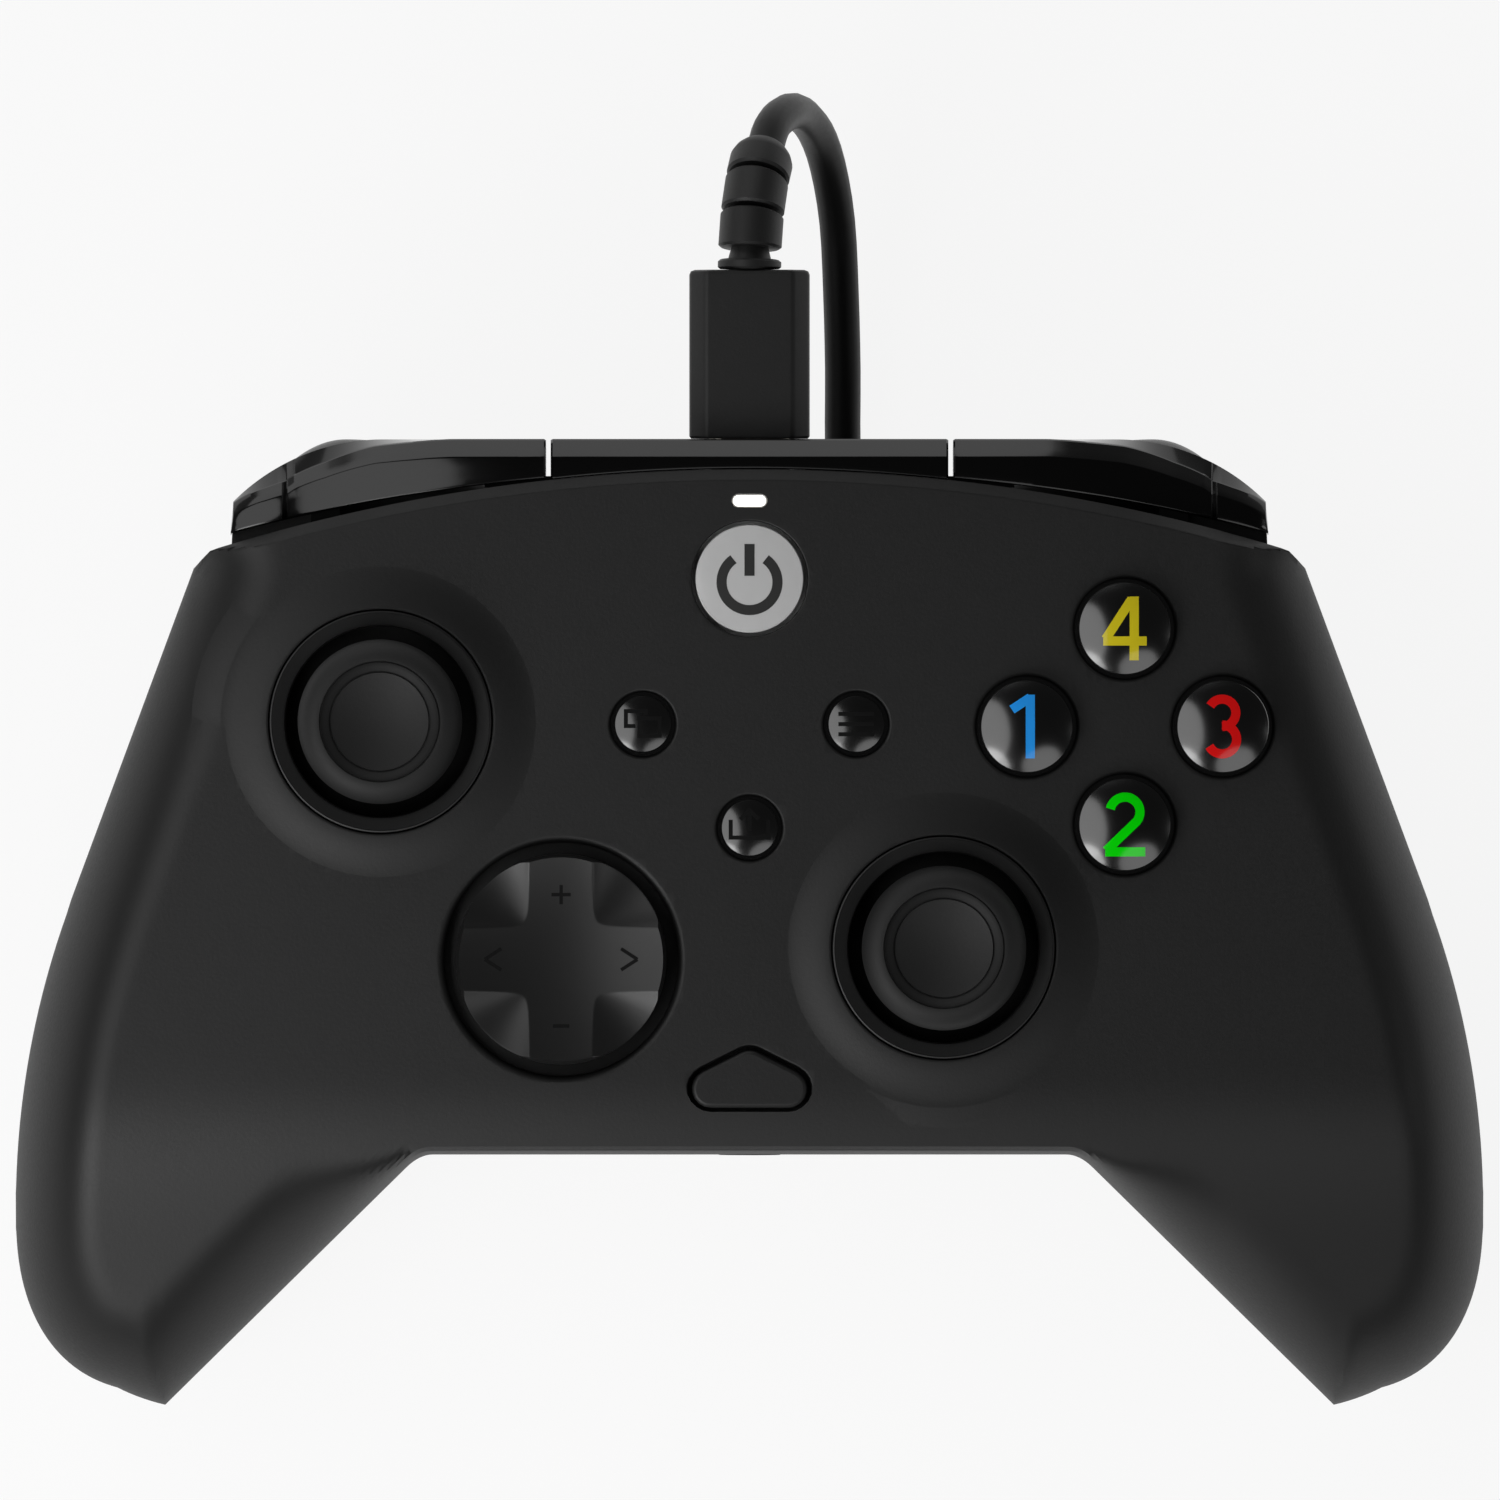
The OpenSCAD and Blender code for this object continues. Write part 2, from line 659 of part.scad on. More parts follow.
// Thumbstick: cap with a round skirt, stem, yoke and housing
cap_top = face_z + cap_rise;
cap_t = 4.4;
neck_r = 3.5;
stem_r = 2;
stem_ball_r = 2.6;
stem_top = cap_top - 6.6;
click = 0.6;
skirt_t = 1;
skirt_end = 61;
skirt_steps = 10;
yoke_pin_r = 1;
yoke_half = 6;
yoke_hole = 4.3;
yoke_t = 2;
box_half = 8;
box_wall = 0.9;
box_top = pivot_z + 3.4;
pot_t = 4.2;
pot_half = 4.5;
module stick_cap(spot) {
  under = cap_top - cap_t;
  bore_r = stem_r + fit_gap;
  bore_top = stem_top + click + run_gap;
  inner_r = skirt_r - skirt_t;
  r = cap_d / 2;
  neck_start = asin(neck_r / skirt_r);
  bore_start = asin(bore_r / inner_r);
  top_side = [
    [0, bore_top], [0, cap_top - 1.6], [3, cap_top - 1.35], [r - 3.4, cap_top - 0.75],
    [r - 2.3, cap_top], [r - 1.3, cap_top - 0.25], [r - 0.4, cap_top - 1.1], [r, cap_top - 2.2],
    [r, cap_top - 2.8], [r - 0.7, under + 0.5], [r - 2, under],
    [neck_r + 1.4, under - 0.4], [neck_r, under - 1.6]
  ];
  outside = [for (k = [0:skirt_steps]) let (a = mix(neck_start, skirt_end, k / skirt_steps))
    [skirt_r * sin(a), pivot_z + skirt_r * cos(a)]];
  inside = [for (k = [skirt_steps:-1:0]) let (a = mix(bore_start, skirt_end, k / skirt_steps))
    [inner_r * sin(a), pivot_z + inner_r * cos(a)]];
  translate([spot[0], spot[1], 0]) rotate_extrude()
    polygon(concat(top_side, outside, inside, [[bore_r, bore_top]]));
}
module stick_stem(spot) {
  pin_half = yoke_half - 0.4;
  translate([spot[0], spot[1], pivot_z]) {
    sphere(stem_ball_r);
    cylinder(r = stem_r, h = stem_top - pivot_z);
    rotate([90, 0, 0]) cylinder(r = yoke_pin_r, h = 2 * pin_half, center = true);
  }
}
module stick_yoke(spot) {
  pin_half = box_half - run_gap;
  translate([spot[0], spot[1], pivot_z]) {
    difference() {
      cube([2 * yoke_half, 2 * yoke_half, yoke_t], center = true);
      cube([2 * yoke_hole, 2 * yoke_hole, 2 * yoke_t], center = true);
      rotate([90, 0, 0]) cylinder(r = yoke_pin_r + 0.2, h = 4 * yoke_half, center = true);
    }
    for (s = [-1, 1]) rotate([0, s * 90, 0]) translate([0, 0, yoke_half - 1])
      cylinder(r = yoke_pin_r, h = pin_half - yoke_half + 1);
  }
}
module stick_housing(spot) {
  inner = box_half - box_wall;
  translate([spot[0], spot[1], 0]) {
    difference() {
      translate([-box_half, -box_half, main_top]) cube([2 * box_half, 2 * box_half, box_top - main_top]);
      translate([-inner, -inner, main_top + box_wall])
        cube([2 * inner, 2 * inner, box_top - main_top - 2 * box_wall]);
      translate([0, 0, pivot_z]) cylinder(r = box_half - 1.4, h = 10);
      translate([0, 0, pivot_z]) rotate([0, 90, 0])
        cylinder(r = yoke_pin_r + 0.2, h = 2 * inner + 4, center = true);
    }
    translate([box_half, -pot_half, main_top]) cube([pot_t, 2 * pot_half, pivot_z + 0.3 - main_top]);
    translate([-pot_half, box_half, main_top]) cube([2 * pot_half, pot_t, pivot_z + 0.3 - main_top]);
  }
}
module stick_ring(spot) {
  low = face_z - bowl_depth - wall;
  translate([spot[0], spot[1], low]) difference() {
    cylinder(r = ring_d / 2 + ring_w, h = wall + 0.4);
    translate([0, 0, -1]) cylinder(d = ring_d, h = wall + 3);
  }
}
module left_stick_cap() color("#1a1a1a") stick_cap(left_stick);
module right_stick_cap() color("#1a1a1a") stick_cap(right_stick);
module left_stick_stem() color("#b0b0b0") stick_stem(left_stick);
module right_stick_stem() color("#b0b0b0") stick_stem(right_stick);
module left_stick_yoke() color("#505050") stick_yoke(left_stick);
module right_stick_yoke() color("#505050") stick_yoke(right_stick);
module left_stick_housing() color("#a8a8a8") stick_housing(left_stick);
module right_stick_housing() color("#a8a8a8") stick_housing(right_stick);
module left_stick_ring() color("#303030") stick_ring(left_stick);
module right_stick_ring() color("#303030") stick_ring(right_stick);

// Bumpers and the bridge between them
bumper_top = face_z - bumper_drop;
bumper_low = bay_z + run_gap;
bumper_in = bridge_half + 0.5;
bumper_end = 53.8 * across;
bumper_straight = bumper_end - 15.8;
bumper_wall = 1.9;
bumper_pin_x = bridge_half + 2.3;
bumper_pin_y = nose_y - 2.4;
bumper_ear = 2.6;
bumper_roof = 2;
bumper_crown_r = 100;
bumper_crown_x = bumper_in + 4.9;
edge_fn = 480;
function bumper_plan(inset) =
  let (r = bumper_r - inset, low = nose_y - 11.5)
  concat(
    [[bumper_in, low], [bumper_in, nose_y - inset]],
    [for (a = [90:-7.5:45]) [bumper_straight + r * cos(a), nose_y - bumper_r + r * sin(a)]],
    [[bumper_end - inset, front_edge(bumper_end) + 0.6], [bumper_end - inset, low]]
  );

// Solid behind the housing's front edge, grown by gap
module front_solid(gap) {
  translate([0, front_y - front_arc_r, -1])
    cylinder(r = front_arc_r + gap, h = face_z + 10, $fn = edge_fn);
}
// Solid under the crown of a bumper, which falls away towards its outer end
module bumper_crown(depth) {
  translate([bumper_crown_x, 0, bumper_top - bumper_crown_r]) rotate([-90, 0, 0])
    cylinder(r = bumper_crown_r - depth, h = 2 * nose_y, $fn = edge_fn);
}
module bumper_blank() {
  intersection() {
    translate([0, 0, bumper_low]) hull() {
      linear_extrude(bumper_top - bumper_low - bumper_bevel) polygon(bumper_plan(0));
      linear_extrude(bumper_top - bumper_low) polygon(bumper_plan(bumper_bevel));
    }
    bumper_crown(0);
  }
}
module bumper_pocket() {
  start = bumper_pin_x + bumper_ear;
  intersection() {
    translate([0, 0, bumper_low - 1]) linear_extrude(bumper_top - bumper_low) intersection() {
      polygon(bumper_plan(bumper_wall));
      translate([start, 0]) square([bumper_end, nose_y]);
    }
    bumper_crown(bumper_roof);
  }
}
module bumper() {
  tip = front_edge(finger_x) - wall;
  inner_r = bumper_r - bumper_wall;
  root = nose_y - bumper_r + sqrt(inner_r * inner_r - pow(finger_x + finger_w - bumper_straight, 2)) + 1;
  difference() {
    bumper_blank();
    bumper_pocket();
    front_solid(bumper_gap);
    translate([bumper_pin_x, bumper_pin_y, 0]) rotate([0, 0, bumper_turn])
      translate([-bumper_pin_x, -bumper_pin_y, 0]) front_solid(bumper_gap);
    translate([bumper_pin_x, bumper_pin_y, 0]) cylinder(d = bumper_pin_d + 2 * fit_gap, h = bumper_top - 1.2);
  }
  translate([finger_x - finger_w / 2, tip, finger_z]) cube([finger_w, root - tip, finger_t]);
}
module right_bumper() color("#0c0c0c") bumper();
module left_bumper() color("#0c0c0c") on_side(-1) bumper();
lug_t = 2.2;
lug_neck = 1.3;
lug_top = bumper_low - run_gap;
module bridge_cover() color("#0c0c0c") difference() {
  low = socket_z - 6;
  back = front_edge(bridge_half);
  union() {
    translate([-bridge_half, 0, 0]) rotate([90, 0, 90]) linear_extrude(2 * bridge_half) polygon([
      [back, low], [nose_y - 1, low], [nose_y, low + 1], [nose_y, bumper_top - bumper_bevel],
      [nose_y - bumper_bevel, bumper_top], [back, bumper_top]
    ]);
    for (side = [-1, 1]) on_side(side) translate([0, back, lug_top - lug_t]) {
      translate([bridge_half - 1, 0, 0]) cube([bumper_pin_x - bridge_half + 1, lug_neck, lug_t]);
      translate([bumper_in, 0, 0]) cube([bumper_pin_x + 1.4 - bumper_in, nose_y - 0.9 - back, lug_t]);
    }
  }
  front_solid(run_gap);
  translate([0, nose_y - 6, socket_z]) rotate([-90, 0, 0]) obround(socket_w, socket_h, 12);
  for (side = [-1, 1]) translate([side * bumper_pin_x, bumper_pin_y, lug_top - lug_t - 1])
    cylinder(d = bumper_pin_d + 2 * fit_gap, h = lug_t + 2);
}
module bumper_pins() color("#b8b8b8") for (side = [-1, 1])
  translate([side * bumper_pin_x, bumper_pin_y, lug_top - lug_t]) cylinder(d = bumper_pin_d, h = 6.6);

// Triggers
trigger_apex = trigger_out - 5.6;
trigger_side = [
  [0, 3], [5.5, 4.3], [8.4, 3.8], [9.9, 1.8], [nose_y - pin_y, -0.8], [9.9, -4.5], [8.6, -9],
  [7.4, -12.5], [7, -15.5], [7.4, -18], [8.1, -19.6], [6.4, -20.2], [4.9, -17.5], [4.2, -13],
  [3.2, -7], [0, -3]
];
trigger_face = [
  [trigger_in, 6], [trigger_in, -4], [trigger_in + 1.5, -12], [trigger_in + 4.5, -17.5],
  [trigger_in + 8, -21], [trigger_out - 6, -21], [trigger_out - 3, -17.5], [trigger_out - 0.8, -12],
  [trigger_out, -4], [trigger_out, 6]
];
function trigger_front(x) =
  x < trigger_apex
  ? nose_y - 4.9 * pow((trigger_apex - x) / (trigger_apex - trigger_in), 2)
  : nose_y - 2.8 * pow((x - trigger_apex) / (trigger_out - trigger_apex), 2);
module trigger_profile(from, to) {
  translate([from, pin_y, pin_z]) rotate([90, 0, 90]) linear_extrude(to - from) polygon(trigger_side);
}
module trigger() {
  steps = 12;
  front = [for (k = [0:steps]) let (x = mix(trigger_in, trigger_out, k / steps)) [x, trigger_front(x)]];
  hollow_in = trigger_in + trigger_wall;
  hollow_out = trigger_out - trigger_wall;
  difference() {
    union() {
      intersection() {
        trigger_profile(trigger_in, trigger_out);
        linear_extrude(face_z) polygon(concat(front, [[trigger_out, pin_y - 5], [trigger_in, pin_y - 5]]));
        translate([0, nose_y + 1, pin_z]) rotate([90, 0, 0]) linear_extrude(30) polygon(trigger_face);
      }
      translate([trigger_in, pin_y, pin_z]) rotate([0, 90, 0])
        cylinder(r = ear_r, h = trigger_out - trigger_in);
    }
    translate([0, -trigger_wall, -trigger_wall * 0.6]) trigger_profile(hollow_in, hollow_out);
    translate([hollow_in, pin_y, pin_z]) rotate([0, 90, 0])
      cylinder(r = ear_r + 0.6, h = hollow_out - hollow_in);
    translate([trigger_in - 1, pin_y, pin_z]) rotate([0, 90, 0])
      cylinder(d = trigger_pin_d + 2 * fit_gap, h = trigger_out - trigger_in + 2);
  }
}
module right_trigger() color("#141414") trigger();
module left_trigger() color("#141414") on_side(-1) trigger();
frame_in = trigger_in - cheek_gap - cheek_t;
frame_out = trigger_out + cheek_gap + cheek_t;
frame_back = bay_y - 1.8;
frame_top = bay_z - 1.1;
module trigger_pin() {
  translate([frame_in + 0.2, pin_y, pin_z]) rotate([0, 90, 0])
    cylinder(d = trigger_pin_d, h = frame_out - frame_in - 0.4);
}
module right_trigger_pin() color("#c8c8c8") trigger_pin();
module left_trigger_pin() color("#c8c8c8") on_side(-1) trigger_pin();
module trigger_spring() {
  translate([trigger_in + 8, pin_y, pin_z]) rotate([0, 90, 0]) difference() {
    cylinder(d = trigger_pin_d + 2.2, h = 8);
    translate([0, 0, -1]) cylinder(d = trigger_pin_d + 2 * fit_gap, h = 10);
  }
}
module right_trigger_spring() color("#c0c0c0") trigger_spring();
module left_trigger_spring() color("#c0c0c0") on_side(-1) trigger_spring();
module trigger_frame() {
  difference() {
    union() {
      translate([frame_in, frame_back, main_top]) cube([frame_out - frame_in, 1.2, frame_top - main_top]);
      translate([frame_in, frame_back, frame_top - 1.3]) cube([frame_out - frame_in, 5.9, 1.3]);
      for (x = [frame_in, frame_out - cheek_t]) translate([x, frame_back, pin_z - 4])
        cube([cheek_t, pin_y + 2.8 - frame_back, frame_top - pin_z + 4 - 0.5]);
    }
    translate([frame_in - 1, pin_y, pin_z]) rotate([0, 90, 0])
      cylinder(d = trigger_pin_d + fit_gap, h = frame_out - frame_in + 2);
  }
}
module right_trigger_frame() color("#3a3a3a") trigger_frame();
module left_trigger_frame() color("#3a3a3a") on_side(-1) trigger_frame();
switch_w = 6;
switch_d = 3;
switch_nib = 0.5;
module bumper_switches() color("#d8d8d8") for (side = [-1, 1]) on_side(side) {
  front = frame_back + switch_d;
  translate([finger_x - switch_w / 2, frame_back, frame_top])
    cube([switch_w, switch_d, finger_z + finger_t - frame_top]);
  translate([finger_x, front - eps, finger_z + finger_t / 2]) rotate([-90, 0, 0])
    cylinder(d = 0.9 * finger_t, h = switch_nib);
}

// Circuit boards and what is soldered to them
button_board_plan = [
  [-33, -12], [-24, -18.5], [24, -18.5], [45, -6], [54, 8], [54, 28], [48, 34.2], [22, 34.2], [22, 43],
  [-22, 43], [-22, 34.2], [-27, 30], [-33, 6]
];
main_board_half = [[46.4, 36], [47, 33], [47, -6], [40, -14]];
function main_board_plan() = concat(
  main_board_half,
  [for (i = [len(main_board_half) - 1:-1:0]) let (p = main_board_half[i]) [-p[0], p[1]]]
);
module board(plan, posts, z) {
  difference() {
    translate([0, 0, z]) linear_extrude(board_t) polygon([for (p = plan) spaced(p)]);
    for (p = posts) translate([p[0], p[1], z - 1]) cylinder(d = board_screw_d + 2 * fit_gap, h = board_t + 2);
  }
}
module button_board() color("#1d5b35") difference() {
  board(button_board_plan, button_posts, board_z - board_t);
  for (p = sticks) translate([p[0], p[1], board_z - board_t - 1])
    cylinder(r = skirt_r + 0.7, h = board_t + 2);
}
module main_board() color("#1d5b35") {
  board(main_board_plan(), main_posts, main_z);
}

// Rubber pads with a dome under every button, and the post under the direction pad
pad_rim = 1;
module pad(spot) {
  translate([spot[0], spot[1], board_z]) {
    cylinder(d = dome_d + 2 * pad_rim, h = pad_t);
    cylinder(d = dome_d, h = pad_t + dome_h);
  }
}
module button_pads() color("#8a8f94") {
  for (p = concat(face_spots, [view_spot, menu_spot, share_spot, guide_spot, [0, function_y + 0.5]])) pad(p);
  translate([dpad_spot[0], dpad_spot[1], board_z]) {
    cylinder(d = dpad_d - 3, h = pad_t);
    cylinder(d = 3, h = dpad_pivot_z - ball_r - run_gap - board_z);
    for (turn = [0:90:270]) rotate([0, 0, turn]) translate([dpad_d / 2 - 4, 0, 0])
      cylinder(d = dome_d, h = pad_t + dome_h);
  }
}

// Socket for the cable at the front and jack at the rear edge
plug_tongue_w = 8.3;
plug_tongue_h = 2.5;
socket_wall = 0.3;
module usb_socket() color("#c4c4c4") translate([0, socket_y - socket_l, socket_z]) rotate([-90, 0, 0])
  difference() {
    obround(socket_w, socket_h, socket_l);
    translate([0, 0, 1]) obround(socket_w - 2 * socket_wall, socket_h - 2 * socket_wall, socket_l);
  }
module headset_jack() color("#1a1a1a") difference() {
  union() {
    translate([-jack_body / 2, jack_step - notch_y, main_top])
      cube([jack_body, jack_l + 1 - jack_step, jack_body]);
    translate([0, -notch_y, jack_z]) rotate([-90, 0, 0]) cylinder(d = jack_nose_d, h = jack_step + 1);
  }
  translate([0, -notch_y - 1, jack_z]) rotate([-90, 0, 0]) cylinder(d = jack_d, h = jack_l + 1);
}

// Rumble motors in the grips with their half-round weights
shaft_r = 1;
shaft_l = 6.4;
weight_r = 8;
weight_t = 4.8;
weight_gap = 0.7;
hub_r = 2.6;
module rumble_motor(side) {
  translate([side * motor_x, motor_y + motor_l / 2, motor_z]) rotate([90, 0, 0]) {
    cylinder(d = motor_d, h = motor_l);
    translate([0, 0, -shaft_l]) cylinder(r = shaft_r, h = shaft_l + 1);
  }
}
module motor_weight(side) {
  translate([side * motor_x, motor_y + motor_l / 2 + weight_gap, motor_z]) rotate([-90, 0, 0]) difference() {
    union() {
      cylinder(r = hub_r, h = weight_t);
      intersection() {
        cylinder(r = weight_r, h = weight_t);
        translate([-weight_r, 0, 0]) cube([2 * weight_r, weight_r, weight_t]);
      }
    }
    translate([0, 0, -1]) cylinder(r = shaft_r + fit_gap, h = weight_t + 2);
  }
}
module left_rumble_motor() color("#c0c0c0") rumble_motor(-1);
module right_rumble_motor() color("#c0c0c0") rumble_motor(1);
module left_motor_weight() color("#7c7c7c") motor_weight(-1);
module right_motor_weight() color("#7c7c7c") motor_weight(1);

// Fasteners
module case_screws() color("#9a9a9a") for (side = [-1, 1], p = screw_spots)
  translate([side * p[0], p[1], screw_seat_z]) {
    translate([0, 0, -screw_head_t - eps]) cylinder(d = screw_head_d, h = screw_head_t);
    translate([0, 0, -eps - 1]) cylinder(d = screw_d, h = screw_len + 1);
  }
module board_screw(p, z, way) {
  translate([p[0], p[1], z]) rotate([way > 0 ? 0 : 180, 0, 0]) {
    cylinder(d = board_screw_head_d, h = board_screw_head_t);
    translate([0, 0, -board_t - 2.2]) cylinder(d = board_screw_d, h = board_t + 3);
  }
}
module board_screws() color("#9a9a9a") {
  for (p = main_posts) board_screw(p, main_top, 1);
  for (p = button_posts) board_screw(p, board_z - board_t, -1);
}

// Plug of the cable, its strain relief and the cord
plug_y = nose_y + 0.1;
plug_end_y = plug_y + plug_l;
plug_chamfer = 1.7;
bend_r = 16.9;
bend_lean = 16.4;
relief_turn = 47.7;
relief_neck_d = relief_d - 1.6;
relief_ribs = 5;
rib_turn = 4.4;
rib_pitch = 8.6;
module plug_shell() color("#c8c8c8") translate([0, socket_y - socket_l + 1.4, socket_z]) rotate([-90, 0, 0])
  obround(plug_tongue_w, plug_tongue_h, plug_y - socket_y + socket_l - 1.4);
module plug_overmould() color("#141414") translate([0, plug_end_y, socket_z]) rotate([90, 0, 0])
  linear_extrude(plug_l) {
    w = plug_w / 2;
    h = plug_h / 2;
    c = plug_chamfer;
    polygon([
      [c - w, h], [w - c, h], [w, h - c], [w, c - h], [w - c, -h], [c - w, -h], [-w, c - h], [-w, h - c]
    ]);
  }
module relief_arc(from, turn, d) {
  rotate([0, 0, from]) rotate_extrude(angle = turn) translate([bend_r, 0]) circle(d = d);
}
lean_out = [-sin(bend_lean), 0, cos(bend_lean)];
bend_centre = [0, plug_end_y, socket_z] - bend_r * lean_out;
module plug_strain_relief() color("#141414") translate(bend_centre) rotate([0, -90 - bend_lean, 0]) {
  relief_arc(0, relief_turn, relief_neck_d);
  for (k = [0:relief_ribs - 1]) relief_arc(k * rib_pitch, rib_turn, relief_d);
}
relief_end = bend_centre + bend_r * (cos(relief_turn) * lean_out + sin(relief_turn) * [0, 1, 0]);
relief_way = cos(relief_turn) * [0, 1, 0] - sin(relief_turn) * lean_out;

// Coil of spare cord under the housing: four layers, spiralling in and out, clockwise from above
coil_spot = [-7.5, 14];
coil_layers = 4;
coil_base = 0.8;
rings_per_turn = 24;
coil_sides = 6;
cord_r = cord_d / 2;
coil_z = coil_base + cord_r;
layer_turns = coil_turns / coil_layers;
function coil_radius(u) =
  let (w = u / layer_turns, v = w - 2 * floor(w / 2), t = v < 1 ? v : 2 - v)
  mix(coil_out, coil_in, t);
function coil_level(u) = [for (k = [1:coil_layers - 1]) min(max((u - k * layer_turns) * 2 + 0.5, 0), 1)];
function add(v) = v * [for (x = v) 1];
function coil_point(u) =
  [coil_spot[0] + coil_radius(u) * cos(-360 * u), coil_spot[1] + coil_radius(u) * sin(-360 * u),
   coil_z + coil_rise * add(coil_level(u))];
coil_rings = round(coil_turns * rings_per_turn);
coil_start = coil_point(0) + [0, cord_d, 0];
coil_finish = coil_point(coil_turns) + [cord_d, 0, 0];
function coil_path() = concat(
  [coil_start], [for (k = [0:coil_rings]) coil_point(k / rings_per_turn)], [coil_finish]);

// Least distance between turns of the coil, less the cord's own diameter
function coil_gap(path) = min([
  for (i = [0:len(path) - 1], j = [i + rings_per_turn / 2:1:len(path) - 1])
    norm(path[i] - path[j])
]) - cord_d;

// Free stretches of the cord
lead_route = [
  relief_end, relief_end + cord_d * relief_way, [3.8, 84.5, 26.5], [5.2, 84.6, 20.5], [6.9, 82.8, 15],
  [8.2, 79.3, 11], [9.2, 73.5, 7.7], [9.6, 66, 5.6], [9.8, 58, 3.8], [9.8, 50, 2.6], [10.2, 44, 2.3],
  [12, 37.5, 2.3], [15.2, 31, 2.4], [18, 26, 2.6], [19, 22, 2.7], coil_start
];
tail_end_z = 3.6;
tail_route = [
  coil_finish, [3, 40.4, 15.5], [11, 39.4, 14], [18.5, 36.6, 11.6], [24.5, 32.4, 8.6], [27.8, 27, 5.9],
  [29, 22, 4.2], [29, 17, tail_end_z]
];
lead_sides = 8;

// A tube of n sides along a path, its rings turned by a side direction that the path never takes
function way(path, i) =
  let (v = path[min(i + 1, len(path) - 1)] - path[max(i - 1, 0)])
  v / norm(v);
module tube(path, d, n, side, first, last) {
  count = len(path);
  points = [
    for (i = [0:count - 1])
      let (
        f = i == 0 ? first : i == count - 1 ? last : way(path, i),
        b = cross(f, side) / norm(cross(f, side)),
        a = cross(b, f)
      )
        for (k = [0:n - 1]) path[i] + d / 2 * (cos(360 * k / n) * a + sin(360 * k / n) * b)
  ];
  walls = [
    for (i = [0:count - 2], k = [0:n - 1])
      let (a = i * n + k, b = i * n + (k + 1) % n)
        each [[a, b + n, b], [a, a + n, b + n]]
  ];
  near_end = [for (k = [0:n - 1]) k];
  far_end = [for (k = [n - 1:-1:0]) (count - 1) * n + k];
  polyhedron(points, concat([near_end, far_end], walls), convexity = 10);
}
module cable_lead() color("#141414") tube(lead_route, cord_d, lead_sides, [1, 0, 0], relief_way, [0, -1, 0]);
module cable_coil() color("#141414") {
  path = coil_path();
  echo(coil_gap = coil_gap(path));
  tube(path, cord_d, coil_sides, [0, 0, 1], [0, -1, 0], [1, 0, 0]);
}
module cable_tail() color("#141414") tube(tail_route, cord_d, lead_sides, [0, 0, 1], [1, 0, 0], [0, -1, 0]);

// Strap round the coil
tie_turn = 200;
tie_w = 5;
tie_t = 0.7;
module cable_tie() color("#101010") translate([coil_spot[0], coil_spot[1], 0]) rotate([0, 0, tie_turn]) {
  from = coil_in - cord_r - 0.5;
  to = coil_out + cord_r + 0.2;
  top = coil_z + (coil_layers - 1) * coil_rise + cord_r + 0.1;
  difference() {
    translate([from - tie_t, -tie_w / 2, 0]) cube([to - from + 2 * tie_t, tie_w, top + tie_t]);
    translate([from, -tie_w, tie_t]) cube([to - from, 2 * tie_w, top - tie_t]);
  }
}

// Plug at the far end of the cord
far_plug_w = 14;
far_plug_l = 18;
far_shell_w = 12;
far_shell_h = 4.5;
far_shell_l = 18.6;
far_shell_wall = 0.4;
tail_end = tail_route[len(tail_route) - 1];
module usb_a_overmould() color("#141414")
  translate([tail_end[0] - far_plug_w / 2, tail_end[1] - far_plug_l, 0])
    cube([far_plug_w, far_plug_l, 2 * tail_end_z]);
module usb_a_shell() color("#c8c8c8")
  translate([tail_end[0], tail_end[1] - far_plug_l - far_shell_l / 2, tail_end_z]) difference() {
    cube([far_shell_w, far_shell_l, far_shell_h], center = true);
    translate([0, -1, 0])
      cube([far_shell_w - 2 * far_shell_wall, far_shell_l, far_shell_h - 2 * far_shell_wall], center = true);
  }

front_shell();
rear_shell();
bridge_cover();
left_bumper();
right_bumper();
bumper_pins();
left_trigger();
right_trigger();
left_trigger_pin();
right_trigger_pin();
left_trigger_spring();
right_trigger_spring();
left_trigger_frame();
right_trigger_frame();
button_top();
button_left();
button_right();
button_bottom();
view_button();
menu_button();
share_button();
guide_button();
function_button();
status_light_pipe();
dpad();
dpad_plate();
left_stick_cap();
left_stick_stem();
left_stick_yoke();
left_stick_housing();
left_stick_ring();
right_stick_cap();
right_stick_stem();
right_stick_yoke();
right_stick_housing();
right_stick_ring();
button_board();
main_board();
button_pads();
usb_socket();
headset_jack();
bumper_switches();
left_rumble_motor();
right_rumble_motor();
left_motor_weight();
right_motor_weight();
case_screws();
board_screws();
plug_shell();
plug_overmould();
plug_strain_relief();
cable_lead();
cable_coil();
cable_tie();
cable_tail();
usb_a_overmould();
usb_a_shell();
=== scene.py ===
# %% [markdown]
# A wired gamepad lies face up on a white table and is looked at from straight above. The packed
# CAD model is loaded first and stays where it is. Every new piece is made in the same frame, in
# metres, so nothing has to be fitted afterwards. The finished pieces may not outgrow it.

# %% load the frame
import math

import bpy
import numpy as np
from mathutils import Matrix, Vector


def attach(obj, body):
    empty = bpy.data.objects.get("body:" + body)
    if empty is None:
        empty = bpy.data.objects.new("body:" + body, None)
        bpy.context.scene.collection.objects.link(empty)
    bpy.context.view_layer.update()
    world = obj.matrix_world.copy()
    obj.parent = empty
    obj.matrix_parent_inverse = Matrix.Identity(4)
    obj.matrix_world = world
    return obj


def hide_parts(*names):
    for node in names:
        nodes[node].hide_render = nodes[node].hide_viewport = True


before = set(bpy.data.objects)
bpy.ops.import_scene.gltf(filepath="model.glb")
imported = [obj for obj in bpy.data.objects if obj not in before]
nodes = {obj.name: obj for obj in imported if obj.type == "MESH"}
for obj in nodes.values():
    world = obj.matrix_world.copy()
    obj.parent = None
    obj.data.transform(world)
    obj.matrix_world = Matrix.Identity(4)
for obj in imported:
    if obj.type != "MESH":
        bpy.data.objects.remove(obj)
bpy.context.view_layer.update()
MM = 0.001

